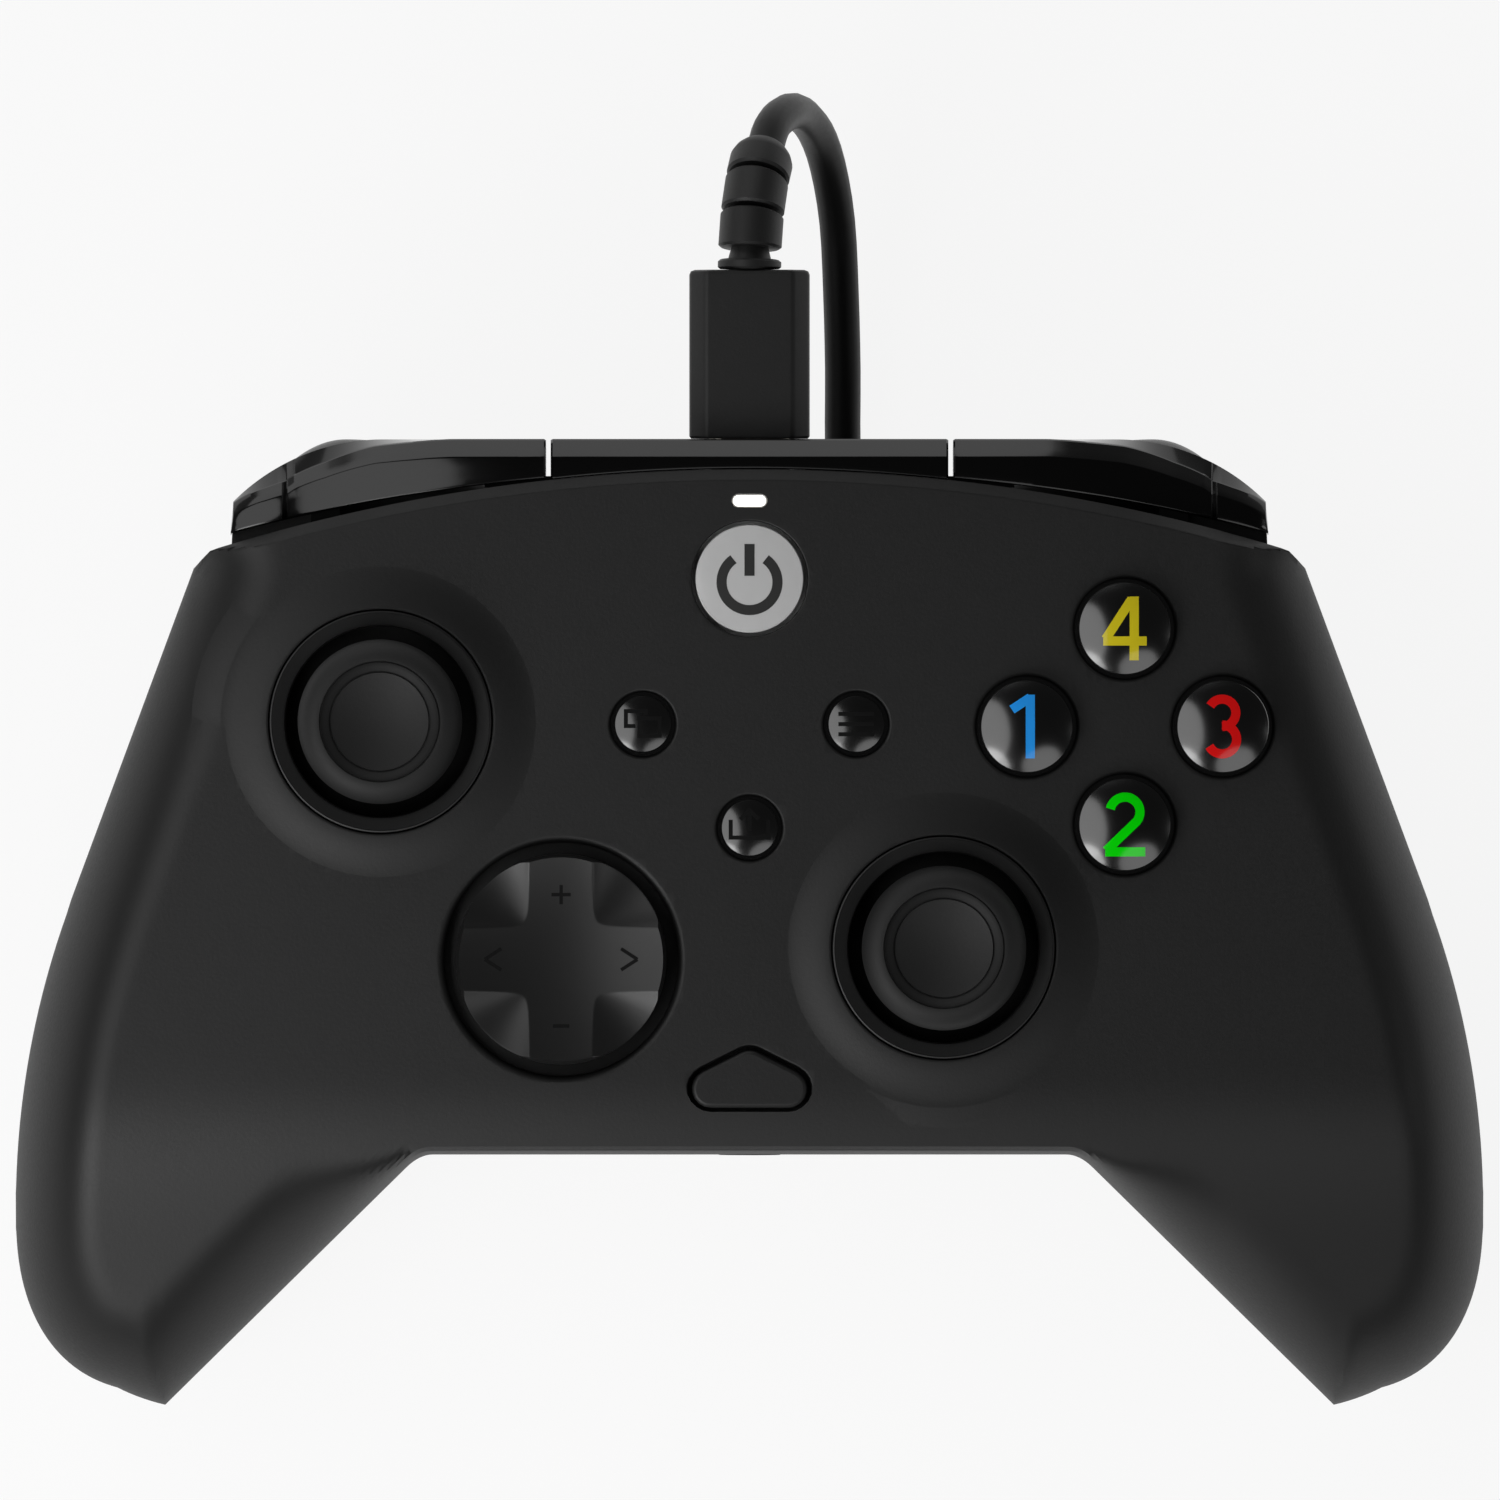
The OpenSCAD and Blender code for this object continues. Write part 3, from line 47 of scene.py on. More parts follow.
# %% [markdown]
# The photograph was taken from straight above with hardly any perspective: every button is round
# and no side wall shows. A very long lens from far away gives that. The height of the frame is
# measured at a level between the face and the widest part of the grips.

# %% camera straight above
PHOTO_WIDTH = 155.8 * MM
PHOTO_CENTRE = (0.05 * MM, 18.07 * MM)
SHARP_LEVEL = 38 * MM
CAMERA_DISTANCE = 3.0
bpy.ops.object.select_all(action="DESELECT")
bpy.ops.object.camera_add(location=(*PHOTO_CENTRE, SHARP_LEVEL + CAMERA_DISTANCE), rotation=(0, 0, 0))
camera = bpy.context.object
camera.name = "photo_camera"
camera.data.lens = camera.data.sensor_width * CAMERA_DISTANCE / PHOTO_WIDTH
camera.data.clip_end = 20
bpy.context.scene.camera = camera
print("lens:", round(camera.data.lens), "mm")

# %% [markdown]
# The cord is one length of round jacketed cable, 3.85 mm thick. It leaves the strain relief
# downwards, arches back under the bridge, and the spare length lies in a neat four-layer coil under
# the belly of the housing, where the view from above doesn't reach. The points repeat the route of
# the CAD solids, and a smooth curve through them takes the corners out.

# %% route of the cord
CORD_D = 3.85
COIL_SPOT = (-7.5, 14.0)
COIL_OUT, COIL_IN = 26.5, 11.8
COIL_TURNS, COIL_LAYERS = 12.75, 4
COIL_LOW, COIL_RISE = 2.725, 4.35
LAYER_TURNS = COIL_TURNS / COIL_LAYERS
RELIEF_END = Vector((1.558, 80.400, 33.699))
RELIEF_WAY = Vector((0.2088, 0.6730, -0.7095))
LEAD = [
    RELIEF_END, RELIEF_END + CORD_D * RELIEF_WAY, (3.8, 84.5, 26.5), (5.2, 84.6, 20.5), (6.9, 82.8, 15),
    (8.2, 79.3, 11), (9.2, 73.5, 7.7), (9.6, 66, 5.6), (9.8, 58, 3.8), (9.8, 50, 2.6), (10.2, 44, 2.3),
    (12, 37.5, 2.3), (15.2, 31, 2.4), (18, 26, 2.6), (19, 22, 2.7),
]
TAIL = [(3, 40.4, 15.5), (11, 39.4, 14), (18.5, 36.6, 11.6), (24.5, 32.4, 8.6), (27.8, 27, 5.9),
        (29, 22, 4.2), (29, 17, 3.6)]


def coil_point(turn):
    """A point of the coil in millimetres, after that many turns."""
    part = (turn / LAYER_TURNS) % 2
    radius = COIL_OUT + (COIL_IN - COIL_OUT) * (part if part < 1 else 2 - part)
    level = sum(min(max((turn - k * LAYER_TURNS) * 2 + 0.5, 0), 1) for k in range(1, COIL_LAYERS))
    angle = -math.tau * turn
    return Vector((COIL_SPOT[0] + radius * math.cos(angle), COIL_SPOT[1] + radius * math.sin(angle),
                   COIL_LOW + COIL_RISE * level))


def smooth_line(points, steps):
    """A curve that passes through every point."""
    points = [Vector(p) for p in points]
    ends = [2 * points[0] - points[1], *points, 2 * points[-1] - points[-2]]
    line = []
    for a, b, c, d in zip(ends, ends[1:], ends[2:], ends[3:]):
        for k in range(steps):
            t = k / steps
            line.append(0.5 * (2 * b + (c - a) * t + (2 * a - 5 * b + 4 * c - d) * t ** 2
                               + (3 * b - a - 3 * c + d) * t ** 3))
    return [*line, points[-1]]


COIL_POINTS_PER_TURN = 24
coil = [coil_point(k / COIL_POINTS_PER_TURN) for k in range(round(COIL_TURNS * COIL_POINTS_PER_TURN) + 1)]
coil_ends = coil[0] + Vector((0, CORD_D, 0)), coil[-1] + Vector((CORD_D, 0, 0))
route = smooth_line([*LEAD, coil_ends[0], *coil, coil_ends[1], *TAIL], 3)
cord_length = sum((b - a).length for a, b in zip(route, route[1:])) * MM
print("cord:", round(cord_length, 3), "m in", len(route), "points")

# %% the cord as a curve
curve = bpy.data.curves.new("cord", "CURVE")
curve.dimensions = "3D"
curve.bevel_depth = 1.0
curve.bevel_resolution = 5
curve.use_fill_caps = True
spline = curve.splines.new("POLY")
spline.points.add(len(route) - 1)
# Each point carries the cord's own radius, so the box that Blender keeps round the curve is right too.
for point, place in zip(spline.points, route):
    point.co = (*(place * MM), 1)
    point.radius = CORD_D / 2 * MM
spline.use_smooth = True
cord = bpy.data.objects.new("cord", curve)
bpy.context.scene.collection.objects.link(cord)
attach(cord, "housing")
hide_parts("cable_lead", "cable_coil", "cable_tail")
print("cord piece made")

# %% [markdown]
# A finish is a small tree of shader nodes. One function adds a node with its settings and links,
# and another turns the hex colours that people read into the linear values that light needs. All
# patterns run on object coordinates, which are metres here, so a scale is one over a real size.

# %% node and colour helpers
def linear(hex_colour):
    """Linear RGBA of an sRGB hex colour."""
    parts = [int(hex_colour[k:k + 2], 16) / 255 for k in (1, 3, 5)]
    return (*[c / 12.92 if c <= 0.04045 else ((c + 0.055) / 1.055) ** 2.4 for c in parts], 1)


def add_node(tree, kind, inputs, stops=(), **settings):
    """One node; an input is a value or another node's output, and stops are a colour ramp's."""
    made = tree.nodes.new(kind)
    for name, value in settings.items():
        setattr(made, name, value)
    for name, value in inputs.items():
        if isinstance(value, bpy.types.NodeSocket):
            tree.links.new(value, made.inputs[name])
        else:
            made.inputs[name].default_value = value
    for k, (position, colour) in enumerate(stops):
        made.color_ramp.elements[k].position, made.color_ramp.elements[k].color = position, colour
    return made


def finish(name, **shader):
    """A new material: its node tree, its shader node and its object coordinates."""
    material = bpy.data.materials.new(name)
    material.use_nodes = True
    tree = material.node_tree
    surface = tree.nodes["Principled BSDF"]
    for socket, value in shader.items():
        surface.inputs[socket.replace("_", " ")].default_value = value
    place = add_node(tree, "ShaderNodeTexCoord", {}).outputs["Object"]
    return material, tree, surface, place


def per_mm(size):
    """The pattern scale that gives a feature of that size in millimetres."""
    return 1 / (size * MM)


print("helpers ready")

# %% [markdown]
# Nearly everything that shows is black plastic, so the pad lives from how differently the same
# black takes the light. The housing is ABS from a spark-eroded mould: matte, with a fine grain.
# The bumpers and the bridge come from a polished mould. The triggers and the direction pad are
# satin, and the stick caps are soft-touch rubber, the dullest of all.

# %% black plastics
GRAIN_DEPTH = 0.05 * MM


def grained(name, dark, light, rough, grain, depth, cloud=30.0, **shader):
    """Moulded plastic or rubber: soft colour clouds, and a grain that roughens and bumps it."""
    material, tree, surface, place = finish(name, **shader)
    clouds = add_node(tree, "ShaderNodeTexNoise", {"Vector": place, "Scale": per_mm(cloud), "Detail": 4.0})
    grains = add_node(tree, "ShaderNodeTexNoise",
                      {"Vector": place, "Scale": per_mm(grain), "Detail": 3.0, "Roughness": 0.6})
    grain_at = grains.outputs["Fac"]
    tint = add_node(tree, "ShaderNodeValToRGB", {"Fac": clouds.outputs["Fac"]},
                    [(0.3, linear(dark)), (0.7, linear(light))])
    dull = add_node(tree, "ShaderNodeMapRange", {"Value": grain_at, "To Min": rough[0], "To Max": rough[1]})
    bump = add_node(tree, "ShaderNodeBump", {"Height": grain_at, "Strength": depth, "Distance": GRAIN_DEPTH})
    tree.links.new(tint.outputs["Color"], surface.inputs["Base Color"])
    tree.links.new(dull.outputs["Result"], surface.inputs["Roughness"])
    tree.links.new(bump.outputs["Normal"], surface.inputs["Normal"])
    return material


# Spark-eroded ABS is a dull black with a soft sheen. Its grain is about 0.1 mm; it is drawn at
# 0.35 mm so that it shows in a picture. The rear half is a little coarser and duller.
shell_abs = grained("textured_abs_black", "#101010", "#131313", (0.42, 0.55), 0.35, 0.3, IOR=1.5)
rear_abs = grained("textured_abs_black_rear", "#121212", "#151515", (0.48, 0.62), 0.45, 0.4, IOR=1.5)
# The grain shades itself when it is seen from the side, so the sheen fades towards the outline.
for material in (shell_abs, rear_abs):
    tree = material.node_tree
    edge_on = add_node(tree, "ShaderNodeLayerWeight", {"Blend": 0.5}).outputs["Facing"]
    sheen = add_node(tree, "ShaderNodeMapRange", {"Value": edge_on, "To Min": 0.5, "To Max": 0.06})
    tree.links.new(sheen.outputs["Result"], tree.nodes["Principled BSDF"].inputs["Specular IOR Level"])
# Satin ABS draws a soft streak of light along each curve of a trigger.
trigger_abs = grained("satin_abs_black", "#101010", "#131313", (0.3, 0.42), 0.3, 0.12, IOR=1.5)
# With a closer grain it lets every slope of the direction pad read as lighter or darker.
dpad_abs = grained("satin_abs_dpad", "#181818", "#1b1b1b", (0.28, 0.38), 0.25, 0.08, IOR=1.5)
# ABS from a polished mould: deep black, with sharp reflections that show the form.
polished_abs = grained("polished_abs_black", "#050505", "#060606", (0.1, 0.16), 6.0, 0.0, IOR=1.54)
# Soft-touch rubber hardly shines, so the caps look like velvet.
cap_rubber = grained("soft_touch_rubber", "#151515", "#191919", (0.52, 0.68), 0.3, 0.3, IOR=1.45)
# Satin ABS again: one thin line of light round each stick.
ring_abs = grained("satin_abs_ring", "#171717", "#191919", (0.4, 0.5), 0.3, 0.1, IOR=1.5)
# Thermoplastic rubber is matte and a shade greyer than the shell.
plug_tpe = grained("matte_tpe_black", "#151515", "#181818", (0.45, 0.58), 0.3, 0.25, IOR=1.48)
# Soft PVC shows a broad, dim gleam along the cord.
cord_pvc = grained("jacket_pvc_black", "#0c0c0c", "#0f0f0f", (0.4, 0.52), 0.4, 0.15, Specular_IOR_Level=0.3)
# Glass-filled nylon is dark grey and dry; silicone is pale grey and waxy.
frame_pa = grained("nylon_dark_grey", "#2c2c2c", "#343434", (0.45, 0.6), 0.5, 0.25, IOR=1.53)
pad_silicone = grained("silicone_grey", "#84898e", "#90959a", (0.5, 0.65), 0.4, 0.2, IOR=1.41)
print("plastics and rubbers: 11")

# %% [markdown]
# The inner pieces rarely show, but a pad with its trigger pulled or seen from below lets some
# through, so they get their own finishes: zinc-plated steel with faint brushing along one axis,
# green solder mask with copper tracks under it, and stamped sheet for the stick housings.

# %% metals and boards
def plated(name, dark, light, rough, streak):
    """Plated metal with fine streaks along Y."""
    material, tree, surface, place = finish(name, Metallic=1.0)
    turned = add_node(tree, "ShaderNodeMapping", {"Vector": place, "Scale": (1.0, 0.05, 1.0)})
    streaks = add_node(tree, "ShaderNodeTexNoise",
                       {"Vector": turned.outputs["Vector"], "Scale": per_mm(streak), "Detail": 5.0})
    streak_at = streaks.outputs["Fac"]
    tint = add_node(tree, "ShaderNodeValToRGB", {"Fac": streak_at}, [(0.3, linear(dark)), (0.7, linear(light))])
    dull = add_node(tree, "ShaderNodeMapRange", {"Value": streak_at, "To Min": rough[0], "To Max": rough[1]})
    tree.links.new(tint.outputs["Color"], surface.inputs["Base Color"])
    tree.links.new(dull.outputs["Result"], surface.inputs["Roughness"])
    return material


# Zinc is a cool grey, nickel is warmer and brighter, and sintered tungsten is dark and dull.
zinc_steel = plated("zinc_plated_steel", "#9c9fa3", "#b4b6b8", (0.22, 0.38), 0.4)
nickel_steel = plated("nickel_plated_steel", "#b9b5ab", "#cfcbc2", (0.14, 0.26), 0.3)
tungsten = plated("sintered_tungsten", "#5c5a57", "#6e6c68", (0.4, 0.6), 0.2)

board_mask, tree, surface, place = finish("solder_mask_green", Roughness=0.28, IOR=1.5)
# Solder mask is a glossy green; the tracks under it, about 1 mm apart, show slightly lighter.
tracks = add_node(tree, "ShaderNodeTexBrick", {
    "Vector": place, "Scale": per_mm(4.0), "Color1": linear("#145a30"), "Color2": linear("#114c29"),
    "Mortar": linear("#1f7a44"), "Mortar Size": 0.03, "Brick Width": 0.7, "Row Height": 0.25})
tree.links.new(tracks.outputs["Color"], surface.inputs["Base Color"])
print("metals and boards: 4")

# %% [markdown]
# Three ways of making a shape come back all the time. A round piece is a half section that the
# spin operator turns about an upright axis. A lofted piece is a grid laid over a row of rings, with
# its seam merged and its ends filled. A hole is a boolean with a shape made in one of these ways.

# %% spun, lofted and carved shapes
def named(name):
    """The object that an operator has just added, under its own name."""
    piece = bpy.context.object
    piece.name = piece.data.name = name
    return piece


def closed_up(piece):
    """Merges what lies together, fills what is open and turns the faces outwards."""
    bpy.ops.object.mode_set(mode="EDIT")
    bpy.ops.mesh.select_all(action="SELECT")
    bpy.ops.mesh.remove_doubles(threshold=1e-6)
    bpy.ops.mesh.fill_holes(sides=0)
    bpy.ops.mesh.normals_make_consistent(inside=False)
    bpy.ops.object.mode_set(mode="OBJECT")
    return piece


def spun(name, section, centre=(0, 0), steps=96):
    """A half section of (radius, height) in millimetres, spun about an upright axis at centre."""
    bpy.ops.object.select_all(action="DESELECT")
    bpy.ops.mesh.primitive_circle_add(vertices=len(section), fill_type="NOTHING")
    piece = named(name)
    for vertex, (radius, height) in zip(piece.data.vertices, section):
        vertex.co = Vector((centre[0] + radius, centre[1], height)) * MM
    bpy.ops.object.mode_set(mode="EDIT")
    if section[0][0] == section[-1][0] == 0:
        bpy.ops.mesh.select_all(action="DESELECT")
        bpy.ops.object.mode_set(mode="OBJECT")
        last = len(section) - 1
        for edge in piece.data.edges:
            edge.select = set(edge.vertices) == {0, last}
        bpy.ops.object.mode_set(mode="EDIT")
        bpy.ops.mesh.select_mode(type="EDGE")
        bpy.ops.mesh.delete(type="EDGE")
        bpy.ops.mesh.select_mode(type="VERT")
    bpy.ops.mesh.select_all(action="SELECT")
    axis_at = (centre[0] * MM, centre[1] * MM, 0)
    bpy.ops.mesh.spin(steps=steps, angle=math.tau, axis=(0, 0, 1), center=axis_at)
    bpy.ops.object.mode_set(mode="OBJECT")
    return closed_up(piece)


def rod(name, radius, low, high, centre, steps):
    """An upright round bar between two heights."""
    return spun(name, [(0, low), (radius, low), (radius, high), (0, high)], centre, steps)


def lofted(name, rings):
    """A grid laid over rings of points in millimetres; the ends are filled."""
    rings = np.asarray(rings, float)
    count, around = rings.shape[:2]
    bpy.ops.object.select_all(action="DESELECT")
    bpy.ops.mesh.primitive_grid_add(x_subdivisions=around, y_subdivisions=count - 1, size=1)
    piece = named(name)
    places = np.concatenate([rings, rings[:, :1]], axis=1) * MM
    piece.data.vertices.foreach_set("co", places.astype(np.float32).ravel())
    piece.data.update()
    return closed_up(piece)


def carve(piece, tool, operation="DIFFERENCE"):
    """Cuts the tool out of the piece, or joins it, and deletes the tool."""
    change = piece.modifiers.new("carve", "BOOLEAN")
    change.object, change.operation, change.solver = tool, operation, "MANIFOLD"
    bpy.context.view_layer.objects.active = piece
    bpy.ops.object.modifier_apply(modifier=change.name)
    bpy.data.objects.remove(tool)
    return piece


def block(name, low, high, lean=0.0):
    """A box between two corners in millimetres, leaned about the X axis through the origin."""
    middle = (Vector(low) + Vector(high)) / 2
    bpy.ops.object.select_all(action="DESELECT")
    bpy.ops.mesh.primitive_cube_add(size=1)
    piece = named(name)
    size = Matrix.Diagonal((*(Vector(high) - Vector(low)), 1))
    place = Matrix.Rotation(lean, 4, "X") @ Matrix.Translation(middle) @ size
    piece.data.transform(Matrix.Scale(MM, 4) @ place)
    return piece


def side_block(name, side, low, high):
    """A box whose corners are given for the right side; side is -1 for the left one."""
    left, right = sorted((side * low[0], side * high[0]))
    return block(name, (left, *low[1:]), (right, *high[1:]))


def on_side(piece, side):
    """A piece that was made for the right side, mirrored to the left if side is -1."""
    if side < 0:
        piece.data.transform(Matrix.Diagonal((-1, 1, 1, 1)))
        piece.data.flip_normals()
    return piece


def smoothed(piece, angle=32):
    """Smooth shading with sharp edges past an angle, weighted so that flat faces stay flat."""
    bpy.ops.object.select_all(action="DESELECT")
    piece.select_set(True)
    bpy.context.view_layer.objects.active = piece
    bpy.ops.object.shade_smooth_by_angle(angle=math.radians(angle))
    weighted = piece.modifiers.new("weighted", "WEIGHTED_NORMAL")
    weighted.keep_sharp = True
    bpy.ops.object.modifier_apply(modifier=weighted.name)
    return piece


def dressed(piece, material, body, slot, *replaced):
    """Gives a finished piece its material and body, and hides the CAD nodes that it stands for; slot is not used."""
    piece.data.materials.clear()
    piece.data.materials.append(material)
    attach(piece, body)
    if replaced:
        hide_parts(*replaced)
    return piece


def arc(centre, radius, start, end, steps):
    """Points of an arc, angles in degrees."""
    turns = [math.radians(start + (end - start) * k / steps) for k in range(steps + 1)]
    return [(centre[0] + radius * math.cos(a), centre[1] + radius * math.sin(a)) for a in turns]


print("modelling helpers ready")

# %% [markdown]
# The housing is one moulded form, cut into two shells. Its plan is a front arc, two straight
# flanks that run into the grips, and a straight rear edge between them. Over that plan the skin
# rises from a slanted parting line, rounding off towards the edges. The formulas are those of the
# CAD model, but the grid is many times finer, so that the light runs over it without facets.

# %% plan of the housing
HALF_W, WALL, FACE_Z, SEAM = 76.5, 2.2, 47.0, 0.2
FRONT_Y, FRONT_R, NOTCH_Y, NOTCH_X = 47.2, 190.0, 24.1, 34.4
SIDE_X, SIDE_Y, SIDE_SLOPE = HALF_W - 5.7, 2.0, 2.677
GRIP_Y, GRIP_R, GRIP_POWER = -30.0, 91.4, 2.4
TIP_X, TIP_Y, TIP_POINT, TIP_REACH = HALF_W - 15.5, -50.3, 1.3, 5.0
PARTING_Z, PARTING_SLOPE = 31.0, 0.16
NOTCH_SOFT, REAR_CRISP = 1.4, 0.9
CUT_AT, CUT_SLOPE = (55.6, 39.05), 0.98


def eased(t):
    """From 0 to 1 with a soft start and end."""
    u = np.clip(t, 0, 1)
    return u * u * (3 - 2 * u)


def bulge(t):
    """From 0 to 1 as a quarter circle."""
    return np.sqrt(1 - (1 - np.clip(t, 0, 1)) ** 2)


def front_edge(x):
    """The arc of the front in plan."""
    return FRONT_Y - FRONT_R + np.sqrt(FRONT_R ** 2 - x ** 2)


def side_edge(x):
    """The straight flank and the round of the grip behind it."""
    arc_y = GRIP_Y + np.sqrt(np.maximum(0, GRIP_R ** 2 - (x - HALF_W + GRIP_R) ** 2))
    return np.where(x < SIDE_X, SIDE_Y + (SIDE_X - x) * SIDE_SLOPE, arc_y)


def lower_edge(x):
    """The rear edge, the slant and the tip of the grip."""
    u = np.clip((x - TIP_X) / (HALF_W - TIP_X), 0, 1)
    grip = (GRIP_Y - (GRIP_Y - TIP_Y - TIP_POINT) * (1 - u ** GRIP_POWER) ** (1 / GRIP_POWER)
            - TIP_POINT * np.maximum(0, 1 - (x - TIP_X) / TIP_REACH))
    bend = np.clip(x - NOTCH_X + NOTCH_SOFT, 0, 2 * NOTCH_SOFT) ** 2 / (4 * NOTCH_SOFT)
    past = bend + np.maximum(0, x - NOTCH_X - NOTCH_SOFT)
    slant = -NOTCH_Y + (TIP_Y + NOTCH_Y) * past / (TIP_X - NOTCH_X)
    return np.where(x < TIP_X, slant, grip)


def front_line(x):
    """The front arc with its outer corner cut off."""
    return np.minimum(front_edge(x), CUT_AT[1] - CUT_SLOPE * (x - CUT_AT[0]))


def upper_edge(x):
    """The front and the flank together."""
    return np.minimum(front_line(x), side_edge(x))


corner_x = next(x for x in np.arange(50, 62, 0.01) if side_edge(x) < front_line(x))
print("front corner at", round(float(corner_x), 2))

# %% heights over the plan
CROWN_R, REAR_ROUND, GRIP_ROUND, BELLY_ROUND, FRONT_ROUND, CHIN_R = 9.0, 3.2, 15.0, 8.0, 1.2, 7.0
BELLY_Z, GRIP_FALL, GRIP_START, GRIP_FULL = 20.0, 10.0, 34.0, 50.0
EDGE_BAND, EDGE_SLOPE, EDGE_STEP = 1.15, ([37, 46, 55], [0.62, 1.1, 2.2]), 0.01
REST_END_Y, RISE_LEN, RISE_Z, FALL_START, FALL_LEN = 14.0, 30.0, 18.0, -16.0, 36.0


def grip_share(x):
    """From 0 over the belly to 1 over a grip."""
    return eased((np.abs(x) - GRIP_START) / (GRIP_FULL - GRIP_START))


def edge_distance(points, starts, ends):
    """How far each plan point is from the nearest of many straight parts."""
    best = np.full(len(points), 1e9)
    for a, b in zip(starts, ends):
        way = b - a
        along = np.clip((points - a) @ way / (way @ way), 0, 1)
        best = np.minimum(best, np.linalg.norm(points - a - along[:, None] * way, axis=1))
    return best


def inset(chain, depth, side):
    """A chain of plan points moved inwards; side is 1 for the front chain and -1 for the rear one."""
    way = np.vstack([chain[1:], chain[-1:]]) - np.vstack([chain[:1], chain[:-1]])
    way /= np.linalg.norm(way, axis=1)[:, None]
    return chain - depth * side * np.stack([-way[:, 1], way[:, 0]], axis=1)


def housing_rings(half_stations, rows, depth, edge_rows=()):
    """Rings of points round the housing, depth inside its skin, from the left end to the right."""
    x = np.concatenate([-half_stations[:0:-1], half_stations])
    front = inset(np.stack([x, upper_edge(np.abs(x))], axis=1), depth, 1)
    rear = inset(np.stack([x, lower_edge(np.abs(x))], axis=1), depth, -1)
    flank = np.abs(x[1:] + x[:-1]) / 2 > corner_x
    ends = [np.array([[s * (HALF_W - depth), GRIP_Y - TIP_REACH], [s * (HALF_W - depth), GRIP_Y + TIP_REACH]])
            for s in (-1, 1)]
    starts = np.vstack([rear[:-1], front[:-1][flank], [e[0] for e in ends]])
    stops = np.vstack([rear[1:], front[1:][flank], [e[1] for e in ends]])
    plan = rear[:, None] + (front - rear)[:, None] * rows[None, :, None]
    if len(edge_rows):
        reach = np.minimum(1, (front - rear)[:, 1] / 20)[:, None]
        ends_y = front[:, 1:] - edge_rows[None, :] * reach
        near = np.dstack([np.repeat(front[:, :1], len(edge_rows), axis=1), ends_y])
        plan = rear[:, None] + (near[:, :1] - rear[:, None]) * rows[None, :-1, None]
        plan = np.concatenate([plan, near], axis=1)
    flat = plan.reshape(-1, 2)
    gap = edge_distance(flat, starts, stops)
    ahead = np.maximum(0, front_line(np.abs(flat[:, 0])) - depth - flat[:, 1])
    share, y = grip_share(flat[:, 0]), flat[:, 1]
    part = PARTING_Z + PARTING_SLOPE * y
    top = FACE_Z - GRIP_FALL * eased((FALL_START - y) / FALL_LEN) - depth
    under = BELLY_Z + (RISE_Z * eased((y - REST_END_Y) / RISE_LEN) - BELLY_Z) * share + depth
    round_up = REAR_ROUND + (CROWN_R - REAR_ROUND) * share
    round_down = BELLY_ROUND + (GRIP_ROUND - BELLY_ROUND) * share
    high = part + (top - part) * np.minimum(bulge(gap / round_up), bulge(ahead / FRONT_ROUND))
    if len(edge_rows):
        high = part + (top - part) * bulge(gap / (REAR_CRISP + (CROWN_R - REAR_CRISP) * share))
        steep = np.interp(np.abs(flat[:, 0]), *EDGE_SLOPE)
        high = np.minimum(high, top - steep * np.maximum(0, EDGE_BAND - ahead))
        high = np.where(ahead < EDGE_STEP, part, high)
    low = part - (part - under) * np.minimum(bulge(gap / round_down), bulge(ahead / CHIN_R))
    over = np.dstack([plan, high.reshape(plan.shape[:2])])
    below = np.dstack([plan, low.reshape(plan.shape[:2])])
    return np.concatenate([over, below[:, -2:0:-1]], axis=1)


END_STEP = 0.02
flank_steps = (HALF_W - END_STEP) - (HALF_W - END_STEP - corner_x) * (1 - np.linspace(0, 1, 41)) ** 1.8
notch_steps = np.linspace(NOTCH_X - NOTCH_SOFT, NOTCH_X + NOTCH_SOFT, 9)
fine_stations = np.concatenate([np.linspace(0, notch_steps[0], 35)[:-1], notch_steps[:-1],
                                np.linspace(notch_steps[-1], corner_x, 25)[:-1], flank_steps])
t = np.linspace(0, 1, 57)
fine_rows = 0.2 * t + 0.8 * (0.5 - 0.5 * np.cos(np.pi * t))
edge_rows = np.array([2.0, 1.6, 1.3, 1.18, 1.12, 1.0, 0.7, 0.4, 0.2, 0.08, 0.03, 0.0])
grip_steps = HALF_W - np.array([19.3, 15.5, 13, 10.5, 8, 5.7, 4, 2.5, 1.3, 0.5, 0.1, END_STEP])
coarse_stations = np.concatenate([np.linspace(0, NOTCH_X, 5)[:-1], np.linspace(NOTCH_X, grip_steps[0], 6)[:-1],
                                  grip_steps])
coarse_rows = np.array([0, 0.03, 0.1, 0.25, 0.45, 0.72, 0.9, 0.98, 1])
print("skin grid:", 2 * len(fine_stations) - 1, "by", 2 * len(fine_rows) - 2)

# %% [markdown]
# Each shell is the outer skin less the lining, joined with its screw posts and with a soft raised
# collar round each stick, and cut at the parting plane with a narrow seam left between the two.
# Then come the openings. Their cutters carry the rounded lips, so a hole edge catches the light as
# a moulded edge does.

# %% places on the face
FACE_SPOTS = {"top": (38.85, 30.65), "left": (28.7, 20.5), "right": (49.0, 20.5), "bottom": (38.85, 10.35)}
SMALL_SPOTS = {"view": (-11.05, 20.75), "menu": (11.05, 20.75), "share": (0.0, 10.0)}
GUIDE_SPOT, DPAD_SPOT, LIGHT_ENDS = (0.0, 35.8), (-19.5, -3.6), [(-1.15, 43.9), (1.15, 43.9)]
STICK_SPOTS = {"left": (-38.2, 21.0), "right": (20.1, -2.4)}
FACE_D, SMALL_D, GUIDE_D, DPAD_D, BUTTON_GAP = 9.6, 5.9, 11.2, 21.8, 0.4
RING_IN, RING_OUT, COLLAR_R, COLLAR_RISE = 9.9, 11.5, 16.7, 0.75
SCREW_SPOTS = [(s * x, y) for s in (-1, 1) for x, y in ((57.5, 18.0), (62.0, -33.0))]
CUT_LOW, CUT_HIGH = 33.0, 60.0


